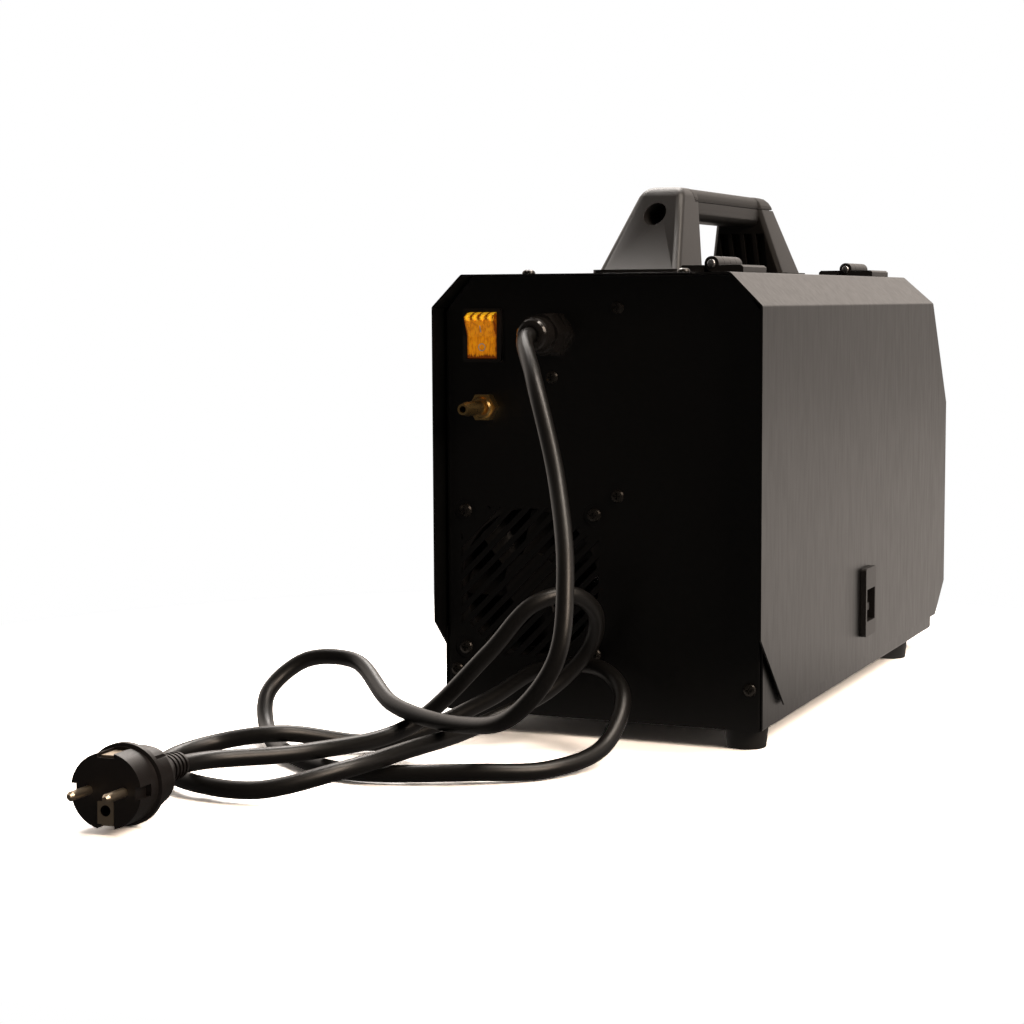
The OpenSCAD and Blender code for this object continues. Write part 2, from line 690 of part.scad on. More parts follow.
module side_door() color(powder) place() {
    difference() {
        intersection() {
            along_y(rear_hood, tray_l + rear_hood + front_hood)
                sheet([[-hinge_x - seam_half, case_h], [-half_w + corner_w, case_h],
                    [-half_w, case_h - corner_w],
                    [-half_w, skirt_z]]);
            along_x(-case_w, 2 * case_w) cover_side_view();
        }
        for (y = hinge_ys, dy = hinge_screw_dys) translate([-hinge_x - hinge_screw_dx, y + dy, case_h - 3])
            cylinder(d = leaf_screw_d + 0.3, h = 6, $fn = 32);
        translate([-half_w - 2, latch_y - latch_window_w / 2 - pocket_wall - slip, pocket_low])
            cube([6, latch_window_w + 2 * pocket_wall + 2 * slip, pocket_top - pocket_low
                + slip]);
    }
    // The door's screws are pressed in: a collar fills the hole round each
    for (y = hinge_ys, dy = hinge_screw_dys) translate([-hinge_x - hinge_screw_dx, y + dy, 0]) {
        leaf_screw();
        translate([0, 0, case_h - 0.9 * sheet_t])
            cylinder(d = leaf_screw_d + 0.5, h = 0.8 * sheet_t, $fn = 32);
    }
}

latch_face_x = -half_w - latch_proud;
latch_back_x = -half_w + sheet_t + 9;
slider_t = 2.4;
slider_x = -half_w + sheet_t + 1.2;
tongue_x = tray_right + sheet_t + near_gap + 0.2;
module latch_body() color(nylon) place() {
    w = latch_window_w;
    depth = latch_back_x - latch_face_x;
    window_low = latch_z - latch_window_h / 2 - 2;
    difference() {
        union() {
            translate([latch_face_x, latch_y, latch_z]) rotate([90, 0, 90]) linear_extrude(latch_proud)
                round_box(latch_w, latch_h, 2);
            translate([latch_face_x, latch_y - w / 2 - pocket_wall, pocket_low + slip])
                cube([depth, w + 2 * pocket_wall, pocket_top - pocket_low - slip]);
        }
        translate([latch_face_x - 1, latch_y - w / 2, window_low])
            cube([depth - pocket_wall, w, latch_window_h]);
        translate([slider_x - slip, latch_y - w / 2, pocket_low - 1])
            cube([latch_back_x - pocket_wall - slider_x + slip, w, pocket_top
                - pocket_low - pocket_wall + 1]);
    }
}

// Slider with a finger ridge in the window and a tongue that drops behind the tray's flange
module latch_slider() color(nylon) place() {
    w = latch_window_w - 2 * near_gap;
    low = pocket_low + 1;
    translate([slider_x + near_gap, latch_y - w / 2, low]) cube([slider_t, w, slider_h]);
    translate([slider_x - 3.5, latch_y - 5, low + slider_h - 6]) cube([4, 10, 5]);
    translate([slider_x + near_gap, latch_y - 6, low])
        cube([tongue_x + 2.5 - slider_x - near_gap, 12, 2.5]);
    translate([tongue_x, latch_y - 6, flange_h - 8]) cube([2.5, 12, low + 2.5 - flange_h + 8]);
}

// ---------- rear fittings ----------

switch_pivot_y = -1;
rocker_r = 13.6;
rocker_w = switch_w - 6;
rocker_pin_d = 3;
bezel_proud = 2.5;
switch_depth = 24;

module switch_bezel() color(nylon) place() translate([switch_x, 0, switch_z]) difference() {
    union() {
        along_y(bezel_proud, bezel_proud) round_box(switch_w, switch_h, 1.5);
        along_y(0.1, switch_depth) square([switch_w - 3.4, switch_h - 3.4], center = true);
        for (z = [-9, 0, 9]) translate([-3, -switch_depth - 8, z - 0.4]) cube([6, 9, 0.8]);
    }
    along_y(bezel_proud + 1, 18) square([rocker_w + 2 * near_gap, 2 * (rocker_r + near_gap)], center =
        true);
    bar_x(switch_pivot_y, 0, rocker_pin_d + 2 * run, -rocker_w / 2 - 1.6, rocker_w + 3.2, 32);
}

// Section of the rocker about its pivot: curved ends, two faces meeting in a shallow valley
function rocker_end(a0, a1, side) = [for (i = [0:6]) let (a = a0 + (a1 - a0) * i / 6)
    rocker_r * [sin(a), side * cos(a)]];
module rocker_section() {
    polygon(concat(rocker_end(-32, 26, 1), [[3.6, 0]], rocker_end(26, -32, -1)));
}

module switch_rocker() color(amber) place() translate([switch_x, switch_pivot_y, switch_z])
    rotate([-rocker_tilt, 0, 0]) {
        difference() {
            along_x(-rocker_w / 2, rocker_w) rocker_section();
            for (i = [-3:3]) translate([i * 2.4 - 0.5, 4.2, rocker_r - 3.4]) cube([1, 4, 4]);
        }
        bar_x(0, 0, rocker_pin_d, -rocker_w / 2 - 1.3, rocker_w + 2.6, 32);
    }

gland_thread_d = 20.4;
gland_bore = lead_d + 0.6;
gland_hex = 24;
gland_throat_d = 17;

module gland_body() color(nylon) place() translate([gland_x, 0, gland_z]) facing_rear()
    difference() {
    union() {
        cylinder(d = gland_hex / cos(30), h = gland_seat, $fn = 6);
        cylinder(d = gland_hex + 1.5, h = 1.2, $fn = 64);
        translate([0, 0, -11]) cylinder(d = gland_thread_d, h = 12, $fn = 64);
        cylinder(d = gland_throat_d, h = gland_seat + 10, $fn = 64);
    }
    translate([0, 0, -12]) cylinder(d = gland_bore, h = 40, $fn = 48);
}

// Sealing nut: hexagon at its root, then a domed end that grips the lead
module gland_nut() color(nylon) place() translate([gland_x, gland_seat, gland_z]) facing_rear()
    difference() {
        union() {
            rotate(8) intersection() {
                cylinder(d = (gland_hex - 1) / cos(30), h = gland_nut_l, $fn = 6);
                cylinder(d1 = gland_hex + 6, d2 = gland_hex + 0.5, h = gland_nut_l, $fn = 64);
            }
            rotate_extrude($fn = 64) polygon(concat([[0, 0], [10.6, 0], [10.6, gland_nut_l]],
                [for (a = [0:15:90]) [gland_bore / 2 + 1 + 4.6 * cos(a), gland_nut_l + gland_dome_l
                    * (1 + 2 * sin(a)) / 3]],
                [[0, gland_nut_l + gland_dome_l]]));
        }
        translate([0, 0, -1]) cylinder(d = gland_bore, h = gland_nut_l + gland_dome_l - 5, $fn = 48);
        translate([0, 0, gland_nut_l]) cylinder(d = lead_d, h = gland_dome_l + 1, $fn = 48);
        translate([0, 0, -1]) cylinder(d = gland_throat_d, h = 11, $fn = 64);
    }

module gland_locknut() color(nylon) place() translate([gland_x, -sheet_t, gland_z])
    facing_front() nut(26, 5, gland_thread_d);

gas_thread_d = 9.7;
barb_d = 8.6;
barb_core = 6.4;
gas_bore = 4;
barb_l = 7;
gas_inner_end = 22;
module gas_inlet() color(brass) place() translate([gas_x, 0, gas_z]) facing_rear() difference() {
    union() {
        cylinder(d = 15 / cos(30), h = 6, $fn = 6);
        translate([0, 0, -14]) cylinder(d = gas_thread_d, h = 15, $fn = 48);
        translate([0, 0, -gas_inner_end]) cylinder(d = barb_core, h = 9, $fn = 48);
        rotate_extrude($fn = 48) polygon(concat(
            [[0, 0], [6.4, 0], [6.4, 7.4], [5.6, 8.6], [barb_core / 2, 8.6], [barb_core / 2, 12]],
            [for (i = [0:2], p = [[barb_d / 2, 12], [barb_core / 2, 12 + barb_l]]) [p.x, p.y + i * barb_l]],
            [[0, 12 + 3 * barb_l]]));
    }
    translate([0, 0, -gas_inner_end - 1]) cylinder(d = gas_bore, h = 60, $fn = 32);
}

module gas_locknut() color(brass) place() translate([gas_x, -sheet_t, gas_z])
    facing_front() nut(14, 3.5, gas_thread_d);

// Solenoid valve on the centre wall, fed from the inlet and feeding the torch socket
valve_x = -wall_x + sheet_t;
valve_y = -92;
valve_w = 24;
valve_l = 36;
outlet_drop = 20;
valve_axis_x = valve_x + valve_w / 2;
module gas_valve() color(zinc) place() difference() {
    union() {
        translate([valve_x, valve_y - valve_l / 2, gas_z - outlet_drop - 9])
            cube([valve_w, valve_l, outlet_drop + 20]);
        translate([valve_axis_x, valve_y, gas_z + 11]) cylinder(d = 20, h = 30, $fn = 48);
        bar_y(valve_axis_x, gas_z, barb_core, valve_y + valve_l / 2 + 12, 13);
        bar_y(valve_axis_x, gas_z - outlet_drop, barb_core, valve_y - valve_l / 2 + 1, 13);
    }
    bar_y(valve_axis_x, gas_z, gas_bore, valve_y + valve_l, 26, 32);
    bar_y(valve_axis_x, gas_z - outlet_drop, gas_bore, valve_y, 40, 32);
}

hose_d = 9;
hose_bend = 14;
hose_cup_d = barb_core;
nipple_y = front_y + 14;
hose_z = gas_z - outlet_drop;

// A quarter turn of hose in the X-Y plane, starting at angle a about its centre
module hose_turn(a) {
    rotate(a) rotate_extrude(angle = 90, $fn = 48) translate([hose_bend, 0]) circle(d = hose_d, $fn = 32);
}

module gas_hose() color(rubber_black) place() {
    turn_y = -gas_inner_end - 1;
    far_y = turn_y - 2 * hose_bend;
    valve_rear = valve_y + valve_l / 2;
    valve_front = valve_y - valve_l / 2;
    difference() {
        union() {
            bar_y(gas_x, gas_z, hose_d, -14, -turn_y - 14);
            translate([gas_x - hose_bend, turn_y, gas_z]) hose_turn(-90);
            bar_x(turn_y - hose_bend, gas_z, hose_d, valve_axis_x + hose_bend, gas_x - valve_axis_x - 2
                * hose_bend);
            translate([valve_axis_x + hose_bend, far_y, gas_z]) hose_turn(90);
            bar_y(valve_axis_x, gas_z, hose_d, far_y, far_y - valve_rear);
        }
        bar_y(gas_x, gas_z, hose_cup_d, -13, gas_inner_end - 13);
        bar_y(valve_axis_x, gas_z, hose_cup_d, valve_rear + 12, 13);
    }
    difference() {
        union() {
            bar_y(valve_axis_x, hose_z, hose_d, valve_front, valve_front - nipple_y - hose_bend);
            translate([valve_axis_x - hose_bend, nipple_y + hose_bend, hose_z]) hose_turn(-90);
            bar_x(nipple_y, hose_z, hose_d, torch_x + hose_bend, valve_axis_x - torch_x - 2 * hose_bend);
            translate([torch_x + hose_bend, nipple_y, hose_z - hose_bend]) rotate([90, 0, 0]) hose_turn(90);
            translate([torch_x, nipple_y, nipple_low])
                cylinder(d = hose_d, h = hose_z - hose_bend - nipple_low, $fn = 48);
        }
        bar_y(valve_axis_x, hose_z, hose_cup_d, valve_front + 1, 13);
        translate([torch_x, nipple_y, nipple_low - 1])
            cylinder(d = hose_cup_d, h = nipple_top - nipple_low + 1, $fn = 48);
    }
}

// ---------- fan ----------

fan_duct_d = 87;
fan_hub_d = 34;
fan_shaft_d = 4;
module fan_frame() color(nylon) place() translate([fan_x, fan_back_y, fan_z]) {
    difference() {
        along_y(0, fan_d) round_box(fan_w, fan_w, 5);
        along_y(1, fan_d + 2) circle(d = fan_duct_d, $fn = 96);
        for (sx = [-1, 1], sz = [-1, 1])
            bar_y(sx * fan_pitch / 2, sz * fan_pitch / 2, screw_d + 0.3, 1, fan_d + 2, 32);
        for (a = [0:90:270]) rotate([0, a, 0]) translate([fan_w / 2 - 1.6, 4 - fan_d, -fan_w / 2 + 13])
            cube([6, fan_d - 8, fan_w - 26]);
    }
    difference() {
        union() {
            along_y(-fan_d + 3, 3) circle(d = fan_hub_d, $fn = 64);
            along_y(-10, fan_d - 10) circle(d = 12, $fn = 48);
            for (a = [45:90:315]) rotate([0, a, 0]) translate([fan_hub_d / 2 - 2, -fan_d, -2])
                cube([fan_duct_d / 2 - fan_hub_d / 2 + 3, 3, 4]);
        }
        bar_y(0, 0, fan_shaft_d + 2 * run, 1, fan_d + 2, 32);
    }
}

blades = 7;
blade_tip = fan_duct_d / 2 - 1.2;
// Arched blade section, pitched across the duct and carried outwards from the hub
module fan_blade() {
    translate([0, -9.5, 0]) rotate([0, 90, 0]) rotate(38) linear_extrude(blade_tip)
        polygon(concat([for (i = [0:6]) [-11.5 + 23 * i / 6, 2.6 * sin(30 * i)]],
            [for (i = [6:-1:0]) [-11.5 + 23 * i / 6, 2.3 * sin(30 * i) - 1.5]]));
}
module fan_rotor() color(nylon) place() translate([fan_x, fan_back_y, fan_z]) {
    difference() {
        union() {
            along_y(-1.5, 17.5) circle(d = fan_hub_d, $fn = 64);
            intersection() {
                along_y(-1, fan_d - 6) circle(r = blade_tip, $fn = 96);
                for (i = [0:blades - 1]) rotate([0, i * 360 / blades, 0]) fan_blade();
            }
        }
        along_y(-4, 30) circle(d = fan_hub_d - 4, $fn = 64);
    }
    bar_y(0, 0, fan_shaft_d, -1.5, fan_d - 3, 32);
}

module fan_screws() color(powder) place() for (p = fan_screw_places)
    translate([p.x, -dimple_depth, p.y]) facing_rear() pan_screw(screw_d, 16, 8.4, 2.8);

// ---------- front fittings ----------

torch_x = -(wall_x + wire_out);
torch_seat = torch_d + 14;
torch_spigot_d = 20;
torch_spigot_l = 24;
torch_reach = 20;
socket_flange_t = 4;
socket_screws = [for (sx = [-1, 1], sz = [-1, 1])
    [torch_x + sx * torch_seat * 0.37, wire_z + sz * torch_seat * 0.37]];
liner_d = 5;
nipple_low = wire_z + torch_spigot_d / 2 + 1;
nipple_top = nipple_low + 12;

module torch_socket() color(brass) place() translate([torch_x, 0, wire_z]) difference() {
    union() {
        along_y(front_y, socket_flange_t) round_box(torch_seat, torch_seat, 5);
        bar_y(0, 0, torch_d, front_y, torch_reach, 64);
        bar_y(0, 0, torch_spigot_d, front_y + torch_spigot_l, torch_spigot_l + 1, 48);
        translate([0, nipple_y, 5]) cylinder(d = barb_core, h = nipple_top - wire_z - 5, $fn = 48);
    }
    bar_y(0, 0, torch_d - 8, front_y - 8, 14, 64);
    bar_y(0, 0, liner_d, front_y + 30, 60, 32);
    for (sx = [-1, 1], sz = [-1, 1])
        bar_y(sx * torch_seat * 0.37, sz * torch_seat * 0.37, leaf_screw_d + 0.4,
        front_y + 1, 8, 32);
    for (a = [60, 120]) rotate([0, a, 0]) translate([9.5, 0, 0]) bar_y(0, 0, 4, front_y, 12, 32);
}

lead_x = 47;
lead_z = 62;
lead_body_d = 36;
module lead_sockets() color(nylon) place() for (sx = [-1, 1])
    translate([lead_x + sx * lead_span / 2, 0, lead_z]) difference() {
        union() {
            bar_y(0, 0, lead_body_d, front_y, 9, 64);
            bar_y(0, 0, lead_body_d - 5, front_y - 8, 12, 64);
            bar_y(0, 0, lead_body_d - 8.6, front_y + 16, 17, 64);
            bar_y(0, 0, 12, front_y + 24, 9, 48);
        }
        bar_y(0, 0, lead_bore_d, front_y + 4, 40, 48);
        translate([-2.2, front_y - 30, 0]) cube([4.4, 34, lead_bore_d / 2 + 2.4]);
    }

knob_v = slope_l * 0.32;
window_v = slope_l * 0.68;
window_w = 62;
window_h = 24;
button_v = slope_l * 0.3;
button_span = 26;
button_d = 11;
knob_shaft_d = 6;

module display_window() color("#301414") place() on_slope(0, window_v) {
    translate([0, 0, -1.6]) linear_extrude(1.7) round_box(window_w - 0.6, window_h - 0.6, 1);
    linear_extrude(1) round_box(window_w + 6, window_h + 6, 2);
}

// Control knob: fluted skirt, marked top, shaft down to the board
module control_knob() {
    flutes = 18;
    difference() {
        union() {
            translate([0, 0, 1]) cylinder(d = knob_d, h = 4, $fn = 64);
            translate([0, 0, 5]) cylinder(d1 = knob_d - 5, d2 = knob_d - 7, h = 11, $fn = 64);
            translate([0, 0, -11]) cylinder(d = knob_shaft_d, h = 13, $fn = 32);
        }
        for (i = [0:flutes - 1]) rotate(i * 360 / flutes + 10) translate([knob_d / 2 - 2.3, 0, 7])
            cylinder(d = 1.8, h = 12, $fn = 16);
        translate([-0.6, knob_d / 2 - 9, 15.2]) cube([1.2, 4, 3]);
    }
}
module voltage_knob() color(nylon) place() on_slope(-knob_span / 2, knob_v) control_knob();
module wire_speed_knob() color(nylon) place() on_slope(knob_span / 2, knob_v) control_knob();

button_stroke = 1.5;
module push_button() {
    shoulder = sheet_t + near_gap;
    stem_end = board_out - 0.7 - button_stroke - near_gap;
    translate([0, 0, -shoulder - 0.5]) cylinder(d = button_d, h = shoulder + 3.5, $fn = 48);
    translate([0, 0, -shoulder - 1.5]) cylinder(d = button_d + 2.4, h = 1.5, $fn = 48);
    translate([0, 0, -stem_end]) cylinder(d = 4, h = stem_end - shoulder, $fn = 32);
}
module trigger_mode_button() color(nylon) place() on_slope(-button_span / 2, button_v)
    push_button();
module gas_test_button() color(nylon) place() on_slope(button_span / 2, button_v) push_button();

module control_board() color(board_green) place() difference() {
    union() {
        on_slope(0, 14) translate([-75, 0, -board_out - board_t]) cube([150, slope_l - 26, board_t]);
        for (sx = [-1, 1]) on_slope(sx * 70, slope_l * 0.5) translate([0, 0, -board_out - 0.1])
            cylinder(d = 6, h = board_out - sheet_t + 0.1, $fn = 32);
        for (sx = [-1, 1]) on_slope(sx * button_span / 2, button_v) translate([-4, -4, -board_out - 0.1])
            cube([8, 8, 0.8]);
    }
    for (sx = [-1, 1]) on_slope(sx * knob_span / 2, knob_v) translate([0, 0, -board_out - 6])
        cylinder(d = knob_shaft_d + 2 * run, h = 10, $fn = 32);
}

// ---------- wire feeder, on the right of the centre wall ----------

plate_t = 6;
plate_x = -wall_x - plate_t;
feed_x = torch_x;
drive_y = front_y + 72;
nip_gap = 0.5;
drive_z = wire_z - roll_d / 2 - nip_gap;
press_z = wire_z + press_roll_d / 2 + nip_gap;
roll_w = 10;
motor_shaft_d = 8;
guide_d = 6;
guide_bore = 2;
arm_y = drive_y - 34;
arm_z = wire_z + 14;
arm_pin_d = 6;
arm_boss_r = 8.5;
arm_w = 12;
arm_top = press_z + 12;
lever_y = drive_y + 30;
lever_pin_d = 5;
lever_eye_d = 11.5;
lever_eye_w = 10;
lever_z = wire_z + guide_d / 2 + lever_eye_d / 2 + 0.75;
lever_rest = 75;
plate_screws = [for (y = [drive_y + 42, drive_y - 42], z = [wire_z - 38, wire_z + 30]) [y, z]];

// Pin with a collar on the plate's side and a head outside, in the plate at (y, z)
module pivot_pin(y, z, d, piece_w) {
    bar_x(y, z, d, feed_x - piece_w / 2 - near_gap - 0.5, plate_x - feed_x + piece_w / 2 + near_gap + 1,
        32);
    bar_x(y, z, d + 5, feed_x + piece_w / 2 + near_gap, plate_x - feed_x - piece_w / 2 - near_gap + 0.5,
        32);
    bar_x(y, z, d + 3, feed_x - piece_w / 2 - near_gap - 1.5, 1.5, 32);
}

module feeder_plate() color(aluminium) place() difference() {
    union() {
        along_x(plate_x, plate_t) polygon(round_loop([[drive_y - 50, wire_z - 46],
            [drive_y + 50, wire_z - 46],
            [drive_y + 50, wire_z + 38], [drive_y - 50, wire_z + 38]], 8));
        for (y = [drive_y + 40, drive_y - 36])
            translate([feed_x - 6, y, wire_z - 9]) cube([plate_x - feed_x + 7, 10, 13]);
        pivot_pin(arm_y, arm_z, arm_pin_d, arm_w);
        pivot_pin(lever_y, lever_z, lever_pin_d, lever_eye_w);
    }
    bar_x(drive_y, drive_z, motor_shaft_d + 4, plate_x - 1, plate_t + 2, 48);
    for (p = plate_screws) bar_x(p.x, p.y, screw_d, plate_x - 1, plate_t + 2, 32);
    bar_y(feed_x, wire_z, guide_d, drive_y + 52, 90, 48);
}

module feed_motor() color(zinc) place() difference() {
    x = -wall_x + sheet_t;
    union() {
        bar_x(drive_y, drive_z, 60, x, 32, 64);
        bar_x(drive_y, drive_z, 52, x + 31, 59, 64);
        bar_x(drive_y, drive_z, 16, x + 89, 5, 32);
    }
    bar_x(drive_y, drive_z, motor_shaft_d + 2 * run, x - 1, 26, 48);
}

module drive_roll() color(zinc) place() {
    r = roll_d / 2;
    w = roll_w / 2;
    difference() {
        translate([feed_x, drive_y, drive_z]) facing_left() rotate_extrude($fn = 64)
            polygon([[0, -w - 4], [8, -w - 4], [8, -w], [r - 0.6, -w], [r, -w + 0.6], [r, -1], [r - 0.9, 0],
                [r, 1], [r, w - 0.6], [r - 0.6, w], [7, w], [7, w + 6], [0, w + 6]]);
        for (i = [0:15]) translate([feed_x - w - 5, drive_y, drive_z]) rotate([i * 22.5, 0, 0])
            translate([0, 8, 0]) facing_left() cylinder(d = 1.6, h = 4.9, $fn = 16);
    }
    bar_x(drive_y, drive_z, motor_shaft_d, feed_x + w, -wall_x - feed_x - w + 22, 48);
}

press_pin_d = 6;
press_roll_w = 7;
arm_slot_w = press_roll_w + 1;
rod_d = 6;
rod_slot_w = rod_d + 1;
arm_tip_y = lever_y + 5;
module pressure_arm() color(nylon) place() difference() {
    union() {
        along_x(feed_x - arm_w / 2, arm_w) polygon(concat(
            corner_arc([arm_y, arm_top], [arm_y - arm_boss_r - 0.5, arm_top],
                [arm_y - arm_boss_r - 0.5, arm_z], 8),
            corner_arc([arm_y - arm_boss_r - 0.5, arm_z],
                [arm_y - arm_boss_r - 0.5, arm_z - arm_boss_r], [arm_y, arm_z - arm_boss_r], 8),
            [[arm_y + 10, arm_z - 6], [drive_y - 12, press_z - 5], [drive_y + 11, press_z - 5],
            [drive_y + 15, arm_top - 6], [arm_tip_y, arm_top - 6], [arm_tip_y, arm_top - 0.9],
                [lever_y, arm_top]]));
        bar_x(drive_y, press_z, press_pin_d, feed_x - arm_w / 2 - 0.4, arm_w + 0.8, 32);
    }
    bar_x(arm_y, arm_z, arm_pin_d + 2 * run, feed_x - arm_w, 2 * arm_w, 48);
    difference() {
        union() {
            bar_x(drive_y, press_z, press_roll_d + 2.4, feed_x - arm_slot_w / 2, arm_slot_w, 48);
            translate([feed_x - arm_slot_w / 2, drive_y - press_roll_d / 2 - 1.2, press_z - 20])
                cube([arm_slot_w, press_roll_d + 2.4, 20]);
        }
        bar_x(drive_y, press_z, press_pin_d, feed_x - arm_w, 2 * arm_w, 32);
    }
    translate([feed_x - rod_slot_w / 2, lever_y - rod_d / 2 - 1, arm_top - 12]) cube([rod_slot_w, 20, 16]);
}

module pressure_roll() color(zinc) place() translate([feed_x, drive_y, press_z]) facing_left()
    rotate_extrude($fn = 64)
    polygon([[press_pin_d / 2 + run, -3.5], [6, -3.5], [6, -3], [8.6, -3], [8.6, -3.5],
        [press_roll_d / 2 - 0.4, -3.5], [press_roll_d / 2, -3.1], [press_roll_d / 2, 3.1],
        [press_roll_d / 2 - 0.4, 3.5], [8.6, 3.5], [8.6, 3], [6, 3], [6, 3.5],
            [press_pin_d / 2 + run, 3.5]]);

// The lever swings on its pin; its own parts are drawn upright and laid back by the rest angle
module on_lever() {
    translate([feed_x, lever_y, lever_z]) rotate([-lever_rest, 0, 0]) children();
}
arm_above_lever = arm_top - lever_z;
spring_low = arm_above_lever + near_gap;
spring_wire = 1.4;
spring_turns = 5;
spring_steps = 12;
spring_r = rod_d / 2 + 1.8;
knob_low = spring_low + 12.6;
rod_top = knob_low + 21;

module tension_lever() color(zinc) place() on_lever() difference() {
    union() {
        bar_x(0, 0, lever_eye_d, -lever_eye_w / 2, lever_eye_w, 48);
        translate([0, 0, 2]) cylinder(d = rod_d, h = rod_top - 2, $fn = 48);
    }
    bar_x(0, 0, lever_pin_d + 2 * run, -lever_eye_w, 2 * lever_eye_w, 48);
}

// A tube swept along a path: the rings keep the least twist, and both ends are closed
function path_way(path, i) = unit(path[min(i + 1, len(path) - 1)] - path[max(i - 1, 0)]);
function square_to(v, t) = unit(v - t * (v * t));
function ring_sides(path, i, s) = i == len(path) ? []
    : let (t = path_way(path, i), u = square_to(s, t))
        concat([[u, cross(t, u)]], ring_sides(path, i + 1, u));
module swept_tube(path, d, sides, first_side) {
    n = len(path);
    rings = ring_sides(path, 0, first_side);
    points = [for (i = [0:n - 1], k = [0:sides - 1]) path[i]
        + d / 2 * (rings[i][0] * cos(360 * k / sides) + rings[i][1] * sin(360 * k / sides))];
    faces = concat(
        [[for (k = [0:sides - 1]) k]],
        [for (i = [0:n - 2], k = [0:sides - 1], half = [0, 1])
            let (a = i * sides + k, b = i * sides + (k + 1) % sides)
            half == 0 ? [a, a + sides, b] : [b, a + sides, b + sides]],
        [[for (k = [sides - 1:-1:0]) (n - 1) * sides + k]]);
    polyhedron(points, faces);
}

spring_path = [for (i = [0:spring_turns * spring_steps]) let (a = 360 * i / spring_steps,
    t = i / (spring_turns * spring_steps))
    [spring_r * cos(a), spring_r * sin(a),
    spring_low + spring_wire / 2 + (knob_low - spring_low - near_gap / 2 - spring_wire) * t]];
module tension_spring() color(zinc) place() on_lever() swept_tube(spring_path, spring_wire, 6, [1, 0, 0]);

module tension_knob() color(nylon) place() on_lever() translate([0, 0, knob_low]) difference() {
    union() {
        cylinder(d = 18, h = 4, $fn = 64);
        translate([0, 0, 4]) cylinder(d = 16, h = 22, $fn = 64);
    }
    translate([0, 0, -1]) cylinder(d = rod_d + 2 * run, h = rod_top - knob_low + 1.4, $fn = 48);
    for (i = [0:11]) rotate(i * 30) translate([8.6, 0, 6]) cylinder(d = 2.4, h = 22, $fn = 16);
}

// Wire guide whose cone points into the nip, from its root at y; way is +1 rearwards or -1
module wire_guide(y, l, way) {
    translate([feed_x, y, wire_z]) rotate([-90 * way, 0, 0]) rotate_extrude($fn = 48)
        polygon([[guide_bore / 2, 0], [guide_d / 2, 0], [guide_d / 2, l - 4], [1.5, l],
            [guide_bore / 2, l]]);
}
nip_reach = 12;
socket_end_y = front_y + torch_spigot_l;
module wire_guides() color(brass) place() {
    wire_guide(drive_y + 50, 50 - nip_reach, -1);
    wire_guide(socket_end_y, drive_y - nip_reach - socket_end_y, 1);
}

// ---------- spool hub ----------

axle_d = 12;
axle_flange_t = 3;
hub_x = -wall_x - axle_flange_t - near_gap - hub_l;
module spool_axle() color(zinc) place() {
    bar_x(-hub_y, hub_z, axle_d, hub_x - 10, hub_l + axle_flange_t + near_gap + 20, 48);
    bar_x(-hub_y, hub_z, 46, -wall_x - axle_flange_t, axle_flange_t, 64);
    translate([-wall_x + sheet_t, -hub_y, hub_z]) facing_left() cylinder(d = 19 / cos(30), h = 7, $fn = 6);
}

// Hub: outer sleeve and bearing tube joined by six ribs and a flange with its driving peg
module spool_hub() color(nylon) place() translate([hub_x, -hub_y, hub_z]) facing_left()
    difference() {
    union() {
        difference() {
            cylinder(d = hub_d, h = hub_l, $fn = 96);
            translate([0, 0, -1]) cylinder(d = hub_d - 8, h = hub_l - 9, $fn = 64);
        }
        translate([0, 0, hub_l - 4]) cylinder(d = 74, h = 4, $fn = 96);
        cylinder(d = axle_d + 8, h = hub_l, $fn = 64);
        for (a = [0:60:300]) rotate(a) translate([axle_d / 2 + 2, -1.2, 0])
            cube([hub_d / 2 - axle_d / 2 - 4, 2.4, hub_l - 4]);
        translate([0, 31, hub_l - 12]) cylinder(d = 8, h = 9, $fn = 32);
    }
    translate([0, 0, -1]) cylinder(d = axle_d + 2 * run, h = hub_l + 2, $fn = 48);
}

module hub_nut() color(nylon) place() translate([hub_x - near_gap, -hub_y, hub_z])
    facing_right() difference() {
    union() {
        cylinder(d = 30, h = 12, $fn = 64);
        for (a = [0:120:240]) rotate(a) translate([0, -4, 0]) cube([24, 8, 12]);
    }
    translate([0, 0, -1]) cylinder(d = axle_d, h = 10.7, $fn = 48);
}

// ---------- power electronics, on the left of the centre wall ----------

power_w = 70;
power_l = 190;
power_x = panel_left - power_w - 15.1;
power_y = -150;
power_z = sheet_t + 6;
module power_board() color(board_green) place() {
    translate([power_x, power_y - power_l, power_z]) cube([power_w, power_l, board_t]);
    for (x = [power_x + 6, power_x + power_w - 6], y = [power_y - 6, power_y - power_l + 6])
        translate([x, y, sheet_t]) cylinder(d = 6, h = power_z - sheet_t + 0.1, $fn = 24);
}

fin_count = 9;
fin_pitch = 3.3;
fin_t = 1.4;
sink_l = 84;
module heat_sinks() color(aluminium) place() for (side = [0, 1])
    translate([power_x + 4 + side * 34, power_y - 16 - sink_l, power_z + board_t]) {
        cube([(fin_count - 1) * fin_pitch + fin_t, sink_l, 4]);
        for (i = [0:fin_count - 1]) translate([i * fin_pitch, 0, 3]) cube([fin_t, sink_l, 47]);
    }

module capacitors() color("#20262e") place() for (i = [0, 1])
    translate([power_x + 18 + i * 34, power_y - power_l + 20, power_z + board_t])
        rotate_extrude($fn = 64) polygon([[0, 0], [15, 0], [15, 46], [13.5, 47.5], [12.5, 46.8],
            [0, 46.8]]);

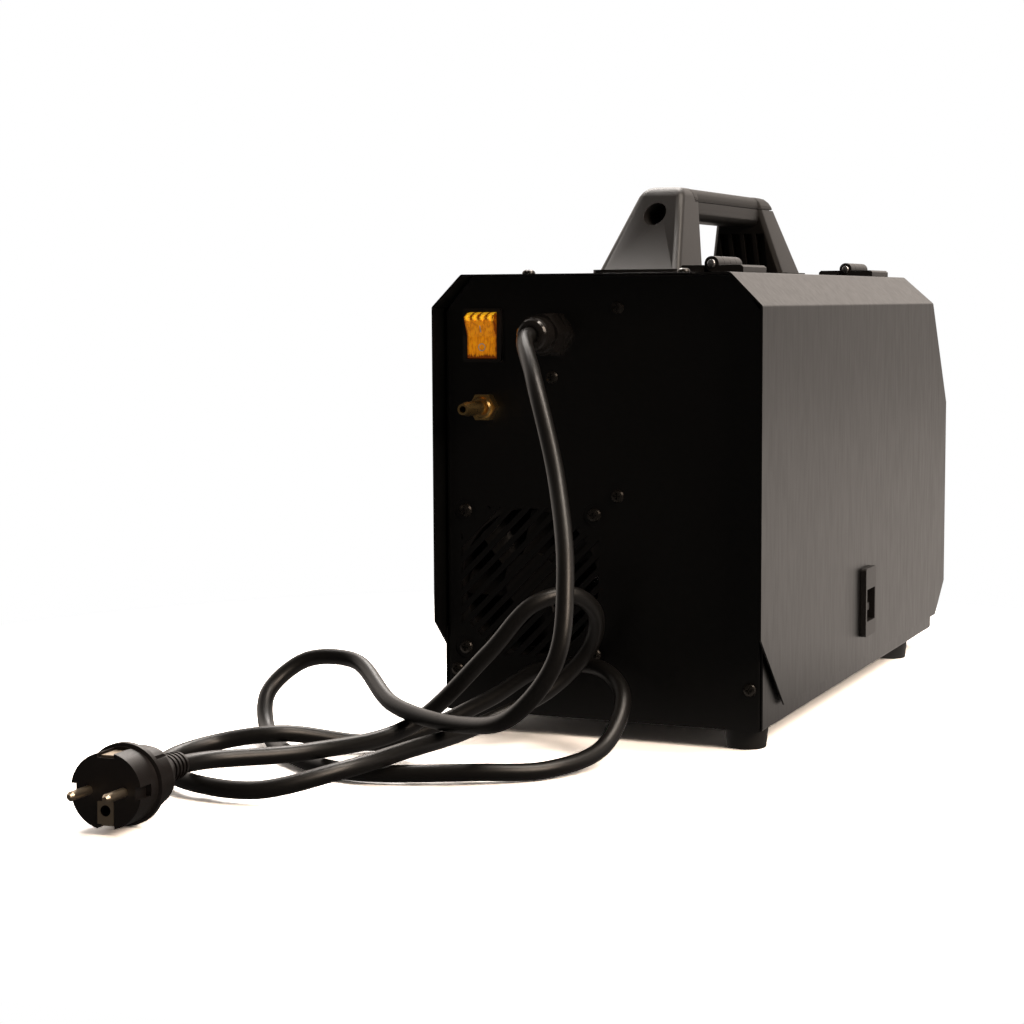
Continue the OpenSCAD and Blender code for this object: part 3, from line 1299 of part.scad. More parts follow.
core = [60, 26, 48];
module transformer() color(copper) place() translate([power_x + 4, power_y - 146, power_z + board_t]) {
    difference() {
        cube(core);
        for (x = [10, 36]) translate([x, -1, 10]) cube([14, core.y + 2, core.z - 20]);
    }
    difference() {
        translate([13, -6, 11]) cube([34, 38, 26]);
        translate([24, -7, 10.9]) cube([12, 40, 30]);
    }
}

choke_turns = 14;
choke_r = 20;
choke_z = sheet_t + 32;
module output_choke() color(copper) place() translate([power_x + 34, power_y + 22, choke_z]) {
    rotate_extrude($fn = 64) translate([choke_r, 0]) square([11, 20], center = true);
    for (i = [0:choke_turns - 1]) rotate(i * 360 / choke_turns) translate([choke_r, 0, 0]) difference() {
        cube([16, 4.2, 25], center = true);
        cube([10.8, 6, 19.8], center = true);
    }
    translate([0, 0, sheet_t - choke_z]) cylinder(d = 20, h = 4, $fn = 32);
    translate([0, 0, sheet_t - choke_z]) cylinder(d = 8, h = choke_z + 11, $fn = 32);
    translate([0, 0, 10]) cylinder(d = 44, h = 2, $fn = 48);
}

// ---------- mains lead ----------

// The lead's way from the gland to the plug: it hangs to the floor, makes one loop against the
// rear panel and two wide loops behind it, and passes over itself in low humps
lead_points = [[gland_x, 4, gland_z], [gland_x, 22, gland_z], [gland_x, 41, gland_z - 1.6],
    [10.5, 74.5, 202.5],
    [-15, 104.5, 150.5], [-33, 136.5, 102], [-34, 152, 61.5], [-9.5, 149.5, 30.5],
    [34, 119.5, 16.5], [95.5, 80.5, 16.5], [146, 35.5, 32.5], [175.5, 38.5, 31], [189.5, 58.5, 15],
    [177, 83.5, -3], [125.5, 136, -6.5], [81.5, 154.5, -6.5], [20.5, 135, -5.5], [-11.5, 109, -6.5],
    [-28.5, 69.5, 0], [-27, 36.5, 23], [-4.5, 17.5, 34.5], [31.5, 18, 31], [58.5, 34, 13.5],
    [103.5, 75, -6.5], [146, 122.5, 3.9], [177.5, 145, 0], [184.5, 179.5, -3], [150, 216, -4],
    [104.5, 219.5, -4.5], [71.5, 190, 2.5], [58, 137.5, 4.5], [48.5, 80.5, 5.5], [17.5, 34, 23.5],
    [-2, 24, 46.5], [-9.5, 33.5, 68], [-3, 52, 81], [13.5, 70, 77], [37.5, 77, 49.5],
    [82.5, 83.5, 6.5], [108.5, 159, 3.5], [142, 206, 5.5], [147, 232, 7.2]];
ring_gap = 30;

// Smooth curve through four points in a row, with knots at the roots of their distances
function between(p0, p1, p2, p3, t) = let (
    d1 = sqrt(norm(p1 - p0)),
    d2 = sqrt(norm(p2 - p1)),
    d3 = sqrt(norm(p3 - p2)),
    m1 = p2 - p1 + d2 * ((p1 - p0) / d1 - (p2 - p0) / (d1 + d2)),
    m2 = p2 - p1 + d2 * ((p3 - p2) / d3 - (p3 - p1) / (d2 + d3)))
    p1 * (2 * t ^ 3 - 3 * t ^ 2 + 1) + m1 * (t ^ 3 - 2 * t ^ 2 + t)
    + p2 * (3 * t ^ 2 - 2 * t ^ 3) + m2 * (t ^ 3 - t ^ 2);
function smooth(points, gap) = let (
    n = len(points),
    q = concat([2 * points[0] - points[1]], points, [2 * points[n - 1] - points[n - 2]]))
    concat([for (i = [0:n - 2]) let (steps = ceil(norm(q[i + 2] - q[i + 1]) / gap))
        each [for (k = [0:steps - 1]) between(q[i], q[i + 1], q[i + 2], q[i + 3], k / steps)]],
        [points[n - 1]]);
lead_path = smooth(lead_points, ring_gap);

module power_cord() color(rubber_black) place() swept_tube(lead_path, lead_d, 10, [1, 0, 0]);

// The lead's length, and the least gap between stretches that pass each other
function sum_to(v, i) = i < 0 ? 0 : v[i] + sum_to(v, i - 1);
lead_steps = [for (i = [0:len(lead_path) - 2]) norm(lead_path[i + 1] - lead_path[i])];
echo(lead_length = sum_to(lead_steps, len(lead_steps) - 1));
close_path = smooth(lead_points, 6);
echo(lead_least_gap = min([for (i = [0:len(close_path) - 9], j = [i + 8:len(close_path) - 1])
    norm(close_path[i] - close_path[j])]) - lead_d);

// ---------- plug ----------

plug_face_d = 38;
plug_l = 56;
boot_l = 22;
boot_end = lead_points[len(lead_points) - 1] + [0, -4, -0.2];
plug_turn = 6;
plug_lift = 2.2;
pin_l = 19;
pin_tip = 2;
pin_root_d = 3.8;
pin_root_l = 12;

// The plug's own frame: its axis is +Z from the end of its boot to its face
module at_plug() {
    translate(boot_end) rotate([0, 0, plug_turn]) rotate([-90 + plug_lift, 0, 0]) children();
}

module plug_body() color(rubber_black) place() at_plug() difference() {
    union() {
        for (i = [0:4]) translate([0, 0, i * 4.4])
            cylinder(d1 = 13.5 + i * 0.5, d2 = 14.5 + i * 0.5, h = 3, $fn = 48);
        cylinder(d = 12.2, h = boot_l, $fn = 48);
        translate([0, 0, boot_l]) rotate_extrude($fn = 72)
            polygon([[0, 0], [8.5, 0], [12, 6], [15.5, 12], [16.5, 16],
            [16.5, 30], [18.4, 33], [plug_face_d / 2 + 1.8, 33.5], [plug_face_d / 2 + 1.8, 37],
            [plug_face_d / 2, 37.5], [plug_face_d / 2, plug_l], [0, plug_l]]);
    }
    translate([0, 0, -1]) cylinder(d = lead_d, h = 9, $fn = 48);
    // Earth socket and the flats for the earth clips
    translate([0, 9.5, boot_l + plug_l - 22]) cylinder(d = 5.4, h = 24, $fn = 32);
    for (s = [-1, 1]) {
        translate([-4.5, s > 0 ? plug_face_d / 2 - 2.8 : -plug_face_d / 2 - 3, boot_l + 38.5])
            cube([9, 5.8, plug_l]);
        for (x = [-19, -13, 13 - 2.4, 19 - 2.4]) translate([x, s * 16 - 5, boot_l + 10])
            cube([2.4, 10, 18]);
        translate([s > 0 ? plug_face_d / 2 - 3 : -plug_face_d / 2 - 3, -3, boot_l + 45]) cube([6, 6, 20]);
    }
    for (s = [-1, 1]) translate([s * pin_span / 2, 0, boot_l + plug_l - pin_root_l])
        cylinder(d = pin_root_d, h = pin_root_l + 1, $fn = 48);
}

// The two pins with narrow roots and rounded ends, and the two earth clips
module plug_pins() color("#c9b9a2") place() at_plug() {
    for (s = [-1, 1]) {
        translate([s * pin_span / 2, 0, boot_l + plug_l]) rotate_extrude($fn = 48)
            polygon([[0, -pin_root_l], [pin_root_d / 2, -pin_root_l], [pin_root_d / 2, 0],
            [pin_d / 2, 0], [pin_d / 2, pin_l - pin_tip], [pin_d / 2 - pin_tip * 0.6, pin_l], [0, pin_l]]);
        translate([-3.4, s * (plug_face_d / 2 - 2.2) - 0.6, boot_l + 39]) cube([6.8, 1.2, plug_l - 41]);
    }
}

base_tray();
rubber_feet();
foot_screws();
rear_panel();
rear_panel_screws();
front_panel();
front_panel_screws();
centre_wall();
fixed_cover();
cover_screws();
handle_body();
grip_cover();
handle_screws();
hinge_cover_leaves();
hinge_door_leaves();
hinge_pins();
hinge_screws();
side_door();
latch_body();
latch_slider();
switch_bezel();
switch_rocker();
gland_body();
gland_nut();
gland_locknut();
gas_inlet();
gas_locknut();
gas_hose();
gas_valve();
fan_frame();
fan_rotor();
fan_screws();
torch_socket();
lead_sockets();
display_window();
voltage_knob();
wire_speed_knob();
trigger_mode_button();
gas_test_button();
feeder_plate();
feed_motor();
drive_roll();
pressure_arm();
pressure_roll();
tension_lever();
tension_spring();
tension_knob();
wire_guides();
spool_axle();
spool_hub();
hub_nut();
control_board();
power_board();
heat_sinks();
capacitors();
transformer();
output_choke();
power_cord();
plug_body();
plug_pins();
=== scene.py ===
# %% [markdown]
# # A compact MIG welding machine
#
# The machine is a box of bent steel sheet with a powder coat. It has a carrying handle of moulded nylon on top,
# a hinged door over the wire feeder, and a mains lead that lies in loops behind it. The frame that is loaded
# first holds every part at its real size. This lesson gives each part its finish, and adds what a solid model
# leaves out: the lead as a smooth tube, printed marks and the soft edges that catch the light.
# leaves out: the lead as a smooth tube, printed marks, copper windings and the soft edges that catch the light.

import json
from itertools import accumulate
from math import pi, radians, tau

import bmesh
import bpy
import numpy as np
from mathutils import Matrix, Vector


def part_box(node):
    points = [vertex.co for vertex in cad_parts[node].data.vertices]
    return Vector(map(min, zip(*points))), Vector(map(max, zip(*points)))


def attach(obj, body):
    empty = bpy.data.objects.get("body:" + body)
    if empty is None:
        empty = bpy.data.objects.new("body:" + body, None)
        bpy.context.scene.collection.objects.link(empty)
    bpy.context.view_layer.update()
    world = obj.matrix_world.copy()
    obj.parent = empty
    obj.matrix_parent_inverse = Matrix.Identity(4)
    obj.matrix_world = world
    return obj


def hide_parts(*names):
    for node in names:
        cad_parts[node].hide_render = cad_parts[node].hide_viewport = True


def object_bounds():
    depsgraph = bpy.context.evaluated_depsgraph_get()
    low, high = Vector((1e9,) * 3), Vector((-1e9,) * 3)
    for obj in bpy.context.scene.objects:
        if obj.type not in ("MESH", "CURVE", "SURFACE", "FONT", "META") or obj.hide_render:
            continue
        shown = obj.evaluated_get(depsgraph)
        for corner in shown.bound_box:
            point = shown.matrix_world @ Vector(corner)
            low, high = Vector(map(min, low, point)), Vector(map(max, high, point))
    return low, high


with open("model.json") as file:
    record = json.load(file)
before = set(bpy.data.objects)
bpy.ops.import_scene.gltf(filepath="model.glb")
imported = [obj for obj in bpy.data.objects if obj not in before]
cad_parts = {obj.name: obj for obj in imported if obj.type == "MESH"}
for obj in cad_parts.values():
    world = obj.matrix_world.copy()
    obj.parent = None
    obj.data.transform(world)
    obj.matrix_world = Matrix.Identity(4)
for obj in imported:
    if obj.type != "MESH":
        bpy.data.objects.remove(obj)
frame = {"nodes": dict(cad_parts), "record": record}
nodes = frame["nodes"]
cad_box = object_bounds()
mm = 0.001
print("loaded", len(nodes), "nodes, box", [tuple(round(c, 3) for c in corner) for corner in cad_box])

# %% [markdown]
# ## The machine's own measuring point
#
# Sizes on a sheet-metal drawing are taken from a few main faces. Here they are the middle of the width, the
# outer face of the rear panel and the underside of the tray. Each is read from a part's box, so the lesson
# keeps to the frame if the machine is made wider or taller.

# %% Measuring point
door_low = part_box("side_door")[0]
cover_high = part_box("fixed_cover")[1]
machine = np.array([(door_low.x + cover_high.x) / 2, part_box("rear_panel")[1].y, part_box("base_tray")[0].z])


def at(x, y, z):
    """A place in metres, from millimetres right of the middle, behind the rear panel and above the tray."""
    return machine + np.array([x, y, z]) * mm


print("measuring point", machine.round(4), "width", round((cover_high.x - door_low.x) / mm, 1), "mm")

# %% [markdown]
# ## The camera
#
# The machine is seen from behind at about table height, so the rear panel faces the viewer and the door is seen
# at a slant. The camera stands 1.2 m behind the panel with a 76 mm lens, a usual choice for a product: nearer
# and shorter would swell the near corner. A turn of a third of a degree sets the verticals right.

# %% Camera
camera_data = bpy.data.cameras.new("studio_camera")
camera_data.lens = 76.455
camera_data.sensor_width = 36
camera = bpy.data.objects.new("studio_camera", camera_data)
camera_place = Vector((-0.455172, 1.387975, 0.257324))
camera_line = Vector((0.39749, -0.91252, -0.09650))
camera_roll = radians(-0.296)
camera_turn = camera_line.to_track_quat("-Z", "Y").to_matrix() @ Matrix.Rotation(camera_roll, 3, "Z")
camera.matrix_world = Matrix.Translation(camera_place) @ camera_turn.to_4x4()
bpy.context.scene.collection.objects.link(camera)
bpy.context.scene.camera = camera
print("camera", round((camera_place - Vector(machine)).length, 2), "m from the panel's foot")

# %% [markdown]
# ## Meshes from whole arrays
#
# Every new piece is a surface worked out with numpy: the points lie on a grid of rows and columns, and one array
# of numbers goes into the mesh at once. A grid can close on itself in either direction, as a tube does round its
# side, and its two ends can be capped.


# %% Grid meshes
def grid_faces(rows, columns, close_rows=False, close_columns=False):
    """Quads between neighbours in a grid: corner (r, c), then (r, c+1), (r+1, c+1) and (r+1, c)."""
    r = np.arange(rows if close_rows else rows - 1)[:, None]
    c = np.arange(columns if close_columns else columns - 1)[None, :]
    r2, c2 = (r + 1) % rows, (c + 1) % columns
    return np.stack([r * columns + c, r * columns + c2, r2 * columns + c2, r2 * columns + c], -1).reshape(-1, 4)


def add_piece(name, points, faces, body, finish, smooth=True, ends=()):
    """Makes one piece from an array of points and an array of quads, and lets it ride on a body.
    ends holds loops of point numbers that are filled, each with one flat face."""
    mesh = bpy.data.meshes.new(name)
    loops = [list(map(int, loop)) for loop in ends]
    mesh.from_pydata(np.asarray(points).reshape(-1, 3).tolist(), [], faces.tolist() + loops)
    mesh.validate()
    mesh.shade_smooth() if smooth else mesh.shade_flat()
    piece = bpy.data.objects.new(name, mesh)
    bpy.context.scene.collection.objects.link(piece)
    finish(piece)
    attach(piece, body)
    return piece


print("a tube of 3 rings with 4 sides has", len(grid_faces(3, 4, close_columns=True)), "faces")

# %% [markdown]
# ## The mains lead
#
# The lead is 9.5 mm of black PVC round three cores, just under two metres long. PVC is stiff, so it leaves the
# gland straight, hangs down the panel, makes one loop that leans on the machine and two wide loops on the floor,
# and crosses over itself in low humps. Its way is a list of given places, and a smooth curve joins them.

# %% The lead's way
lead_d = 9.5 * mm
lead_points = [
    (30, 4, 226), (30, 22, 226), (30, 41, 224.4), (10.5, 74.5, 202.5), (-15, 104.5, 150.5), (-33, 136.5, 102),
    (-34, 152, 61.5), (-9.5, 149.5, 30.5), (34, 119.5, 16.5), (95.5, 80.5, 16.5), (146, 35.5, 32.5),
    (175.5, 38.5, 31), (189.5, 58.5, 15), (177, 83.5, -3), (125.5, 136, -6.5), (81.5, 154.5, -6.5),
    (20.5, 135, -5.5), (-11.5, 109, -6.5), (-28.5, 69.5, 0), (-27, 36.5, 23), (-4.5, 17.5, 34.5),
    (31.5, 18, 31), (58.5, 34, 13.5), (103.5, 75, -6.5), (146, 122.5, 3.9), (177.5, 145, 0),
    (184.5, 179.5, -3), (150, 216, -4), (104.5, 219.5, -4.5), (71.5, 190, 2.5), (58, 137.5, 4.5),
    (48.5, 80.5, 5.5), (17.5, 34, 23.5), (-2, 24, 46.5), (-9.5, 33.5, 68), (-3, 52, 81), (13.5, 70, 77),
    (37.5, 77, 49.5), (82.5, 83.5, 6.5), (108.5, 159, 3.5), (142, 206, 5.5), (147, 232, 7.2),
]


def flowing(points, per_span):
    """A smooth curve through all points. Each span is a cubic, whose slope at either end comes from the neighbour
    spans, weighted by the square roots of their lengths, so that short spans turn tightly and never overshoot."""
    p = np.asarray(points, float)
    p = np.vstack([2 * p[0] - p[1], p, 2 * p[-1] - p[-2]])
    a, b, c, d = p[:-3], p[1:-2], p[2:-1], p[3:]
    before, within, after = (np.sqrt(np.linalg.norm(v, axis=1))[:, None] for v in (b - a, c - b, d - c))
    leaving = c - b + within * ((b - a) / before - (c - a) / (before + within))
    arriving = c - b + within * ((d - c) / after - (d - b) / (within + after))
    t = (np.arange(per_span) / per_span)[None, :, None]
    spans = (b[:, None] * (2 * t**3 - 3 * t**2 + 1) + leaving[:, None] * (t**3 - 2 * t**2 + t)
             + c[:, None] * (3 * t**2 - 2 * t**3) + arriving[:, None] * (t**3 - t**2))
    return np.vstack([spans.reshape(-1, 3), p[-2]])


def tube_grid(path, radius, sides, start=(1, 0, 0)):
    """Rings round a path. Each ring's first side is the one before it, laid square to the path again, so the rings
    don't twist. A point is the path plus radius times (side cos + other side sin)."""
    way = np.gradient(path, axis=0)
    way /= np.linalg.norm(way, axis=1)[:, None]

    def carried(side, direction):
        """The side, less its part along the direction, at length 1."""
        side = side - direction * (side @ direction)
        return side / np.linalg.norm(side)

    first = carried(np.asarray(start, float), way[0])
    side = np.array(list(accumulate(way[1:], carried, initial=first)))
    other = np.cross(way, side)
    turn = tau * np.arange(sides) / sides
    ring = side[:, None] * np.cos(turn)[None, :, None] + other[:, None] * np.sin(turn)[None, :, None]
    return path[:, None] + radius * ring


rings_per_span = 14
lead_path = at(0, 0, 0) + flowing(lead_points, rings_per_span) * mm
lead_length = np.linalg.norm(np.diff(lead_path, axis=0), axis=1).sum()
print("lead", round(lead_length, 3), "m,", len(lead_path), "rings")

# %% [markdown]
# ## Colours and shader nodes
#
# Colours are written as sRGB hex, as a paint chart gives them. A renderer works with light, which adds up in a
# straight line, so one function turns a hex value into linear light. One more function adds a shader node, with
# its settings and its links, and one makes the many finishes whose roughness follows their relief.


# %% Colour and node helpers
def linear(hex_colour):
    """The colour's light: each channel is (c/12.92) when dark, and ((c + 0.055)/1.055) to the power 2.4 above."""
    channels = [int(hex_colour[i:i + 2], 16) / 255 for i in (1, 3, 5)]
    return (*[c / 12.92 if c <= 0.04045 else ((c + 0.055) / 1.055) ** 2.4 for c in channels], 1)


def add(tree, kind, sockets=None, **settings):
    """Adds a node of that kind. A socket's value is linked if it is another node's output, and set if it isn't."""
    made = tree.nodes.new("ShaderNode" + kind)
    for name, value in settings.items():
        setattr(made, name, value)
    for socket, value in (sockets or {}).items():
        if isinstance(value, bpy.types.NodeSocket):
            tree.links.new(value, made.inputs[socket])
        else:
            made.inputs[socket].default_value = value
    return made


def new_material(name, base, **surface):
    """A material with one Principled surface: base is its hex colour, and surface holds its constant sockets."""
    material = bpy.data.materials.new(name)
    material.use_nodes = True
    tree = material.node_tree
    shader = tree.nodes["Principled BSDF"]
    shader.inputs["Base Color"].default_value = linear(base)
    for socket, value in surface.items():
        shader.inputs[socket.replace("_", " ")].default_value = value
    return material, tree, shader


def place_in_mm(tree, stretch=(1, 1, 1)):
    """The object's own place in millimetres, so that a pattern's size is a real one. stretch spaces it per axis."""
    here = add(tree, "TexCoord").outputs["Object"]
    return add(tree, "Mapping", {"Vector": here, "Scale": [1000 * s for s in stretch]}).outputs["Vector"]


def grain(tree, shader, size_mm, height_mm, detail=2.0, stretch=(1, 1, 1)):
    """Gives a surface a fine relief: noise whose bumps are size_mm wide and height_mm high."""
    place = place_in_mm(tree, stretch)
    noise = add(tree, "TexNoise", {"Vector": place, "Scale": 1 / size_mm, "Detail": detail})
    bump = add(tree, "Bump", {"Height": noise.outputs["Fac"], "Distance": height_mm * mm})
    tree.links.new(bump.outputs["Normal"], shader.inputs["Normal"])
    return noise, place


def vary(tree, shader, socket, factor, low, high):
    """Lets a value of the surface run from low to high with a pattern."""
    spread = add(tree, "MapRange", {"Value": factor, "From Min": 0.3, "From Max": 0.7, "To Min": low,
                                    "To Max": high})
    tree.links.new(spread.outputs["Result"], shader.inputs[socket])


def grained(name, base, relief, roughness, detail=2.0, stretch=(1, 1, 1), **surface):
    """A finish whose relief and roughness follow one noise. relief is (width, height) of its bumps in mm, and
    roughness is (low, high)."""
    material, tree, shader = new_material(name, base, **surface)
    noise, _ = grain(tree, shader, *relief, detail=detail, stretch=stretch)
    vary(tree, shader, "Roughness", noise.outputs["Fac"], *roughness)
    return material


print("helpers for colours, nodes and grained finishes")

# %% [markdown]
# ## Powder-coated steel
#
# The case is mild steel sheet, sprayed with black polyester powder and baked. The powder melts into a skin of
# about 0.08 mm, which is satin and not quite flat: it has a soft ripple a few millimetres wide and a finer one
# under that. Polyester has an IOR near 1.5. The door was rolled sheet, so its ripple is drawn out upwards.


# %% Powder coat
def powder_coat():
    """Two reliefs, one on the other: the rolled sheet's long ripple and the powder's own finer one."""
    material, tree, shader = new_material("powder_coated_steel", "#090909", IOR=1.5, Roughness=0.34)
    place = place_in_mm(tree, (1, 1, 0.12))
    sheet_roll = add(tree, "TexNoise", {"Vector": place, "Scale": 1 / 3.0, "Detail": 3.0})
    skin = add(tree, "TexNoise", {"Vector": place_in_mm(tree), "Scale": 1 / 0.9, "Detail": 2.0})
    rolled = add(tree, "Bump", {"Height": sheet_roll.outputs["Fac"], "Distance": 0.012 * mm})
    both = add(tree, "Bump", {"Height": skin.outputs["Fac"], "Distance": 0.004 * mm,
                              "Normal": rolled.outputs["Normal"]})
    tree.links.new(both.outputs["Normal"], shader.inputs["Normal"])
    vary(tree, shader, "Roughness", sheet_roll.outputs["Fac"], 0.31, 0.37)
    return material


finishes = {"case_black": powder_coat()}
print("case finish", finishes["case_black"].name)

# %% [markdown]
# ## Screws and other steel
#
# The panel screws are hardened steel with a black zinc finish: still a metal, but a dark one with a dull shine.
# The rolls and shafts are turned and bright zinc plated, with the faint rings that a lathe leaves.


# %% Screw finishes
finishes |= {
    "screw_black": grained("black_zinc_steel", "#4a4744", (0.5, 0.006), (0.2, 0.32), Metallic=0.9, Roughness=0.26),
    "screw_zinc": grained("bright_zinc_steel", "#b9bbbd", (0.25, 0.003), (0.2, 0.36), stretch=(0.15, 1, 1),
                          Metallic=1.0, Roughness=0.26),
    "steel": grained("ground_tool_steel", "#8f8e8c", (0.3, 0.004), (0.24, 0.4), stretch=(0.2, 1, 1),
                     Metallic=1.0, Roughness=0.3),
}
print("steels", len(finishes) - 1)

# %% [markdown]
# ## Moulded plastics
#
# The handle, the hinges, the latch and the knobs are glass-filled nylon from a spark-eroded mould, which gives it
# a fine matt grain of about a third of a millimetre. The grip's cover is a soft elastomer with hardly any shine.
# The cable gland is plain nylon from a polished mould, so it is glossy.


# %% Plastics
finishes |= {
    "moulded_black": grained("moulded_glass_filled_nylon", "#191716", (0.45, 0.018), (0.38, 0.46), detail=3.0,
                             IOR=1.53, Roughness=0.42),
    "grip_soft": grained("soft_touch_elastomer", "#191716", (0.4, 0.035), (0.46, 0.58), detail=3.0,
                         IOR=1.48, Roughness=0.52),
    "gland_nylon": grained("polished_nylon", "#1a1817", (1.2, 0.008), (0.11, 0.18), IOR=1.53, Roughness=0.2),
}
print("finishes so far", len(finishes))

# %% [markdown]
# ## The lit rocker
#
# The mains switch is an amber polycarbonate rocker with a lamp behind it. The plastic is clear enough to let
# light in and cloudy enough to spread it. Light that wanders inside the plastic is subsurface scattering. The
# lamp is off, so the glow is a painted glow, with painted shade at the sides and foot and painted highlights
# on the ribbed upper edge.


# %% Amber polycarbonate
switch_low, switch_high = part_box("switch_bezel")
switch_middle = (switch_low + switch_high) / 2
rocker_low, rocker_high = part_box("switch_rocker")


def ramp(tree, value, low, high, to_low=0.0, to_high=1.0, shape="LINEAR"):
    """The value, stretched so that low becomes to_low and high becomes to_high, and held there beyond them."""
    return add(tree, "MapRange", {"Value": value, "From Min": low, "From Max": high, "To Min": to_low,
                                  "To Max": to_high}, interpolation_type=shape).outputs["Result"]


def number(tree, operation, *values):
    """The result of one sum on one or two values."""
    return add(tree, "Math", dict(enumerate(values)), operation=operation).outputs["Value"]


def mixed(tree, factor, first, second):
    """A colour between two others."""
    return add(tree, "MixRGB", {"Fac": factor, "Color1": first, "Color2": second}).outputs["Color"]


def amber_polycarbonate():
    """Streaked amber with a painted glow, painted shade at its sides and foot, and painted highlights on its ribbed
    top.
    """
    material, tree, shader = new_material(
        "amber_polycarbonate", "#e08a10", IOR=1.585, Roughness=0.22, Subsurface_Weight=0.35,
        Subsurface_Radius=(3.0, 1.2, 0.3), Subsurface_Scale=1.5 * mm, Emission_Strength=0.48)
    relief, _ = grain(tree, shader, 1.3, 0.02, detail=4.0, stretch=(1, 1, 0.4))
    noise = relief.outputs["Fac"]
    streaks = mixed(tree, ramp(tree, noise, 0.36, 0.64), linear("#c06c07"), linear("#e8930e"))
    # Painted shade within about 1.3 mm of the sides and of the foot, where the plastic is thick, with a ragged
    # border
    here = add(tree, "SeparateXYZ", {"Vector": place_in_mm(tree)})
    ragged = ramp(tree, noise, 0.35, 0.65, -0.6, 0.6)
    across = number(tree, "ADD", here.outputs["X"], -switch_middle.x / mm)
    height = number(tree, "ADD", here.outputs["Z"], ragged)
    aside = number(tree, "ADD", number(tree, "ABSOLUTE", across), ragged)
    half_width = (rocker_high.x - rocker_low.x) / 2 / mm
    sides = ramp(tree, aside, half_width - 2.6, half_width - 1.2)
    foot = ramp(tree, height, rocker_low.z / mm + 2.4, rocker_low.z / mm + 1.2)
    body = mixed(tree, number(tree, "MAXIMUM", sides, foot), streaks, linear("#6a2f04"))
    # The ribbed upper edge: painted highlights 4.8 mm apart, with painted shade in the valleys between them
    prism = number(tree, "PINGPONG", number(tree, "ADD", across, ragged), 2.4)
    painted_rib_light = mixed(tree, ramp(tree, prism, 0.5, 1.3), linear("#7a3a04"), linear("#ffc02a"))
    top = ramp(tree, height, rocker_high.z / mm - 4.9, rocker_high.z / mm - 4.3)
    colour = mixed(tree, top, body, painted_rib_light)
    tree.links.new(colour, shader.inputs["Base Color"])
    # The same colour also glows as emission: a painted glow that carries the painted shade and highlights.
    tree.links.new(colour, shader.inputs["Emission Color"])
    return material


finishes["rocker_amber"] = amber_polycarbonate()
print("rocker", round((rocker_high.z - rocker_low.z) / mm, 1), "mm high")

# %% [markdown]
# ## Brass, aluminium, copper and plated contacts
#
# Bare metals take their colour from the metal itself. Brass bar is turned on a lathe and yellows; the feeder's
# plate is cast and shot-blasted aluminium; the windings are enamelled copper, a metal under a clear amber skin;
# and the plug's contacts are nickel-plated brass with a dull, warm shine.


# %% Metals
finishes |= {
    "brass": grained("turned_brass", "#dcbb7c", (0.22, 0.005), (0.24, 0.4), stretch=(1, 0.2, 1),
                     Metallic=1.0, Roughness=0.34),
    "aluminium": grained("shot_blasted_aluminium", "#a9abad", (0.5, 0.02), (0.36, 0.52), detail=3.0,
                         Metallic=1.0, Roughness=0.42),
    "winding_copper": grained("enamelled_copper", "#9c4f22", (0.8, 0.01), (0.24, 0.4), Metallic=1.0,
                              Roughness=0.3, Coat_Weight=0.8, Coat_Roughness=0.12),
    "pin_nickel": grained("dull_nickel_plate", "#cdbda6", (0.4, 0.004), (0.28, 0.42), Metallic=1.0,
                          Roughness=0.34),
}
print("finishes so far", len(finishes))

# %% [markdown]
# ## Rubber and PVC
#
# The feet and the gas hose are carbon-filled rubber, almost without shine. The lead's jacket and the plug are
# PVC: the jacket came out of a hot die, so it is smooth and bright, with faint long ripples where the cores lie
# under it; the plug is moulded, and a little duller.


# %% Rubber and PVC
def filled_rubber():
    """Rubber with the coarse grain of its mould."""
    material, tree, shader = new_material("carbon_filled_rubber", "#121110", IOR=1.52, Roughness=0.6)
    grain(tree, shader, 0.6, 0.02)
    return material


def extruded_pvc():
    """A jacket with long ripples over its cores, drawn on its flat map, and a fine skin over them."""
    material, tree, shader = new_material("extruded_pvc", "#141312", IOR=1.53, Roughness=0.36)
    uv = add(tree, "TexCoord").outputs["UV"]
    cores = add(tree, "Mapping", {"Vector": uv, "Scale": (3.0, 9.0, 1.0)})
    ripple = add(tree, "TexNoise", {"Vector": cores.outputs["Vector"], "Scale": 1.0, "Detail": 2.0})
    skin = add(tree, "TexNoise", {"Vector": place_in_mm(tree), "Scale": 1 / 1.1, "Detail": 2.0})
    long_bump = add(tree, "Bump", {"Height": ripple.outputs["Fac"], "Distance": 0.05 * mm})
    fine_bump = add(tree, "Bump", {"Height": skin.outputs["Fac"], "Distance": 0.003 * mm,
                                   "Normal": long_bump.outputs["Normal"]})
    tree.links.new(fine_bump.outputs["Normal"], shader.inputs["Normal"])
    vary(tree, shader, "Roughness", skin.outputs["Fac"], 0.32, 0.42)
    return material


finishes |= {
    "rubber_black": filled_rubber(),
    "cord_black": extruded_pvc(),
    "plug_black": grained("moulded_pvc", "#1b1716", (0.7, 0.012), (0.3, 0.42), IOR=1.53, Roughness=0.36),
}
print("finishes so far", len(finishes))

# %% [markdown]
# ## Circuit boards, capacitors and the display window
#
# A circuit board is glass cloth in green resin, with copper tracks that show through as paler lines on a
# 2.54 mm pitch. A capacitor has a shrunk sleeve of dark blue PVC. The display's window is smoked acrylic.


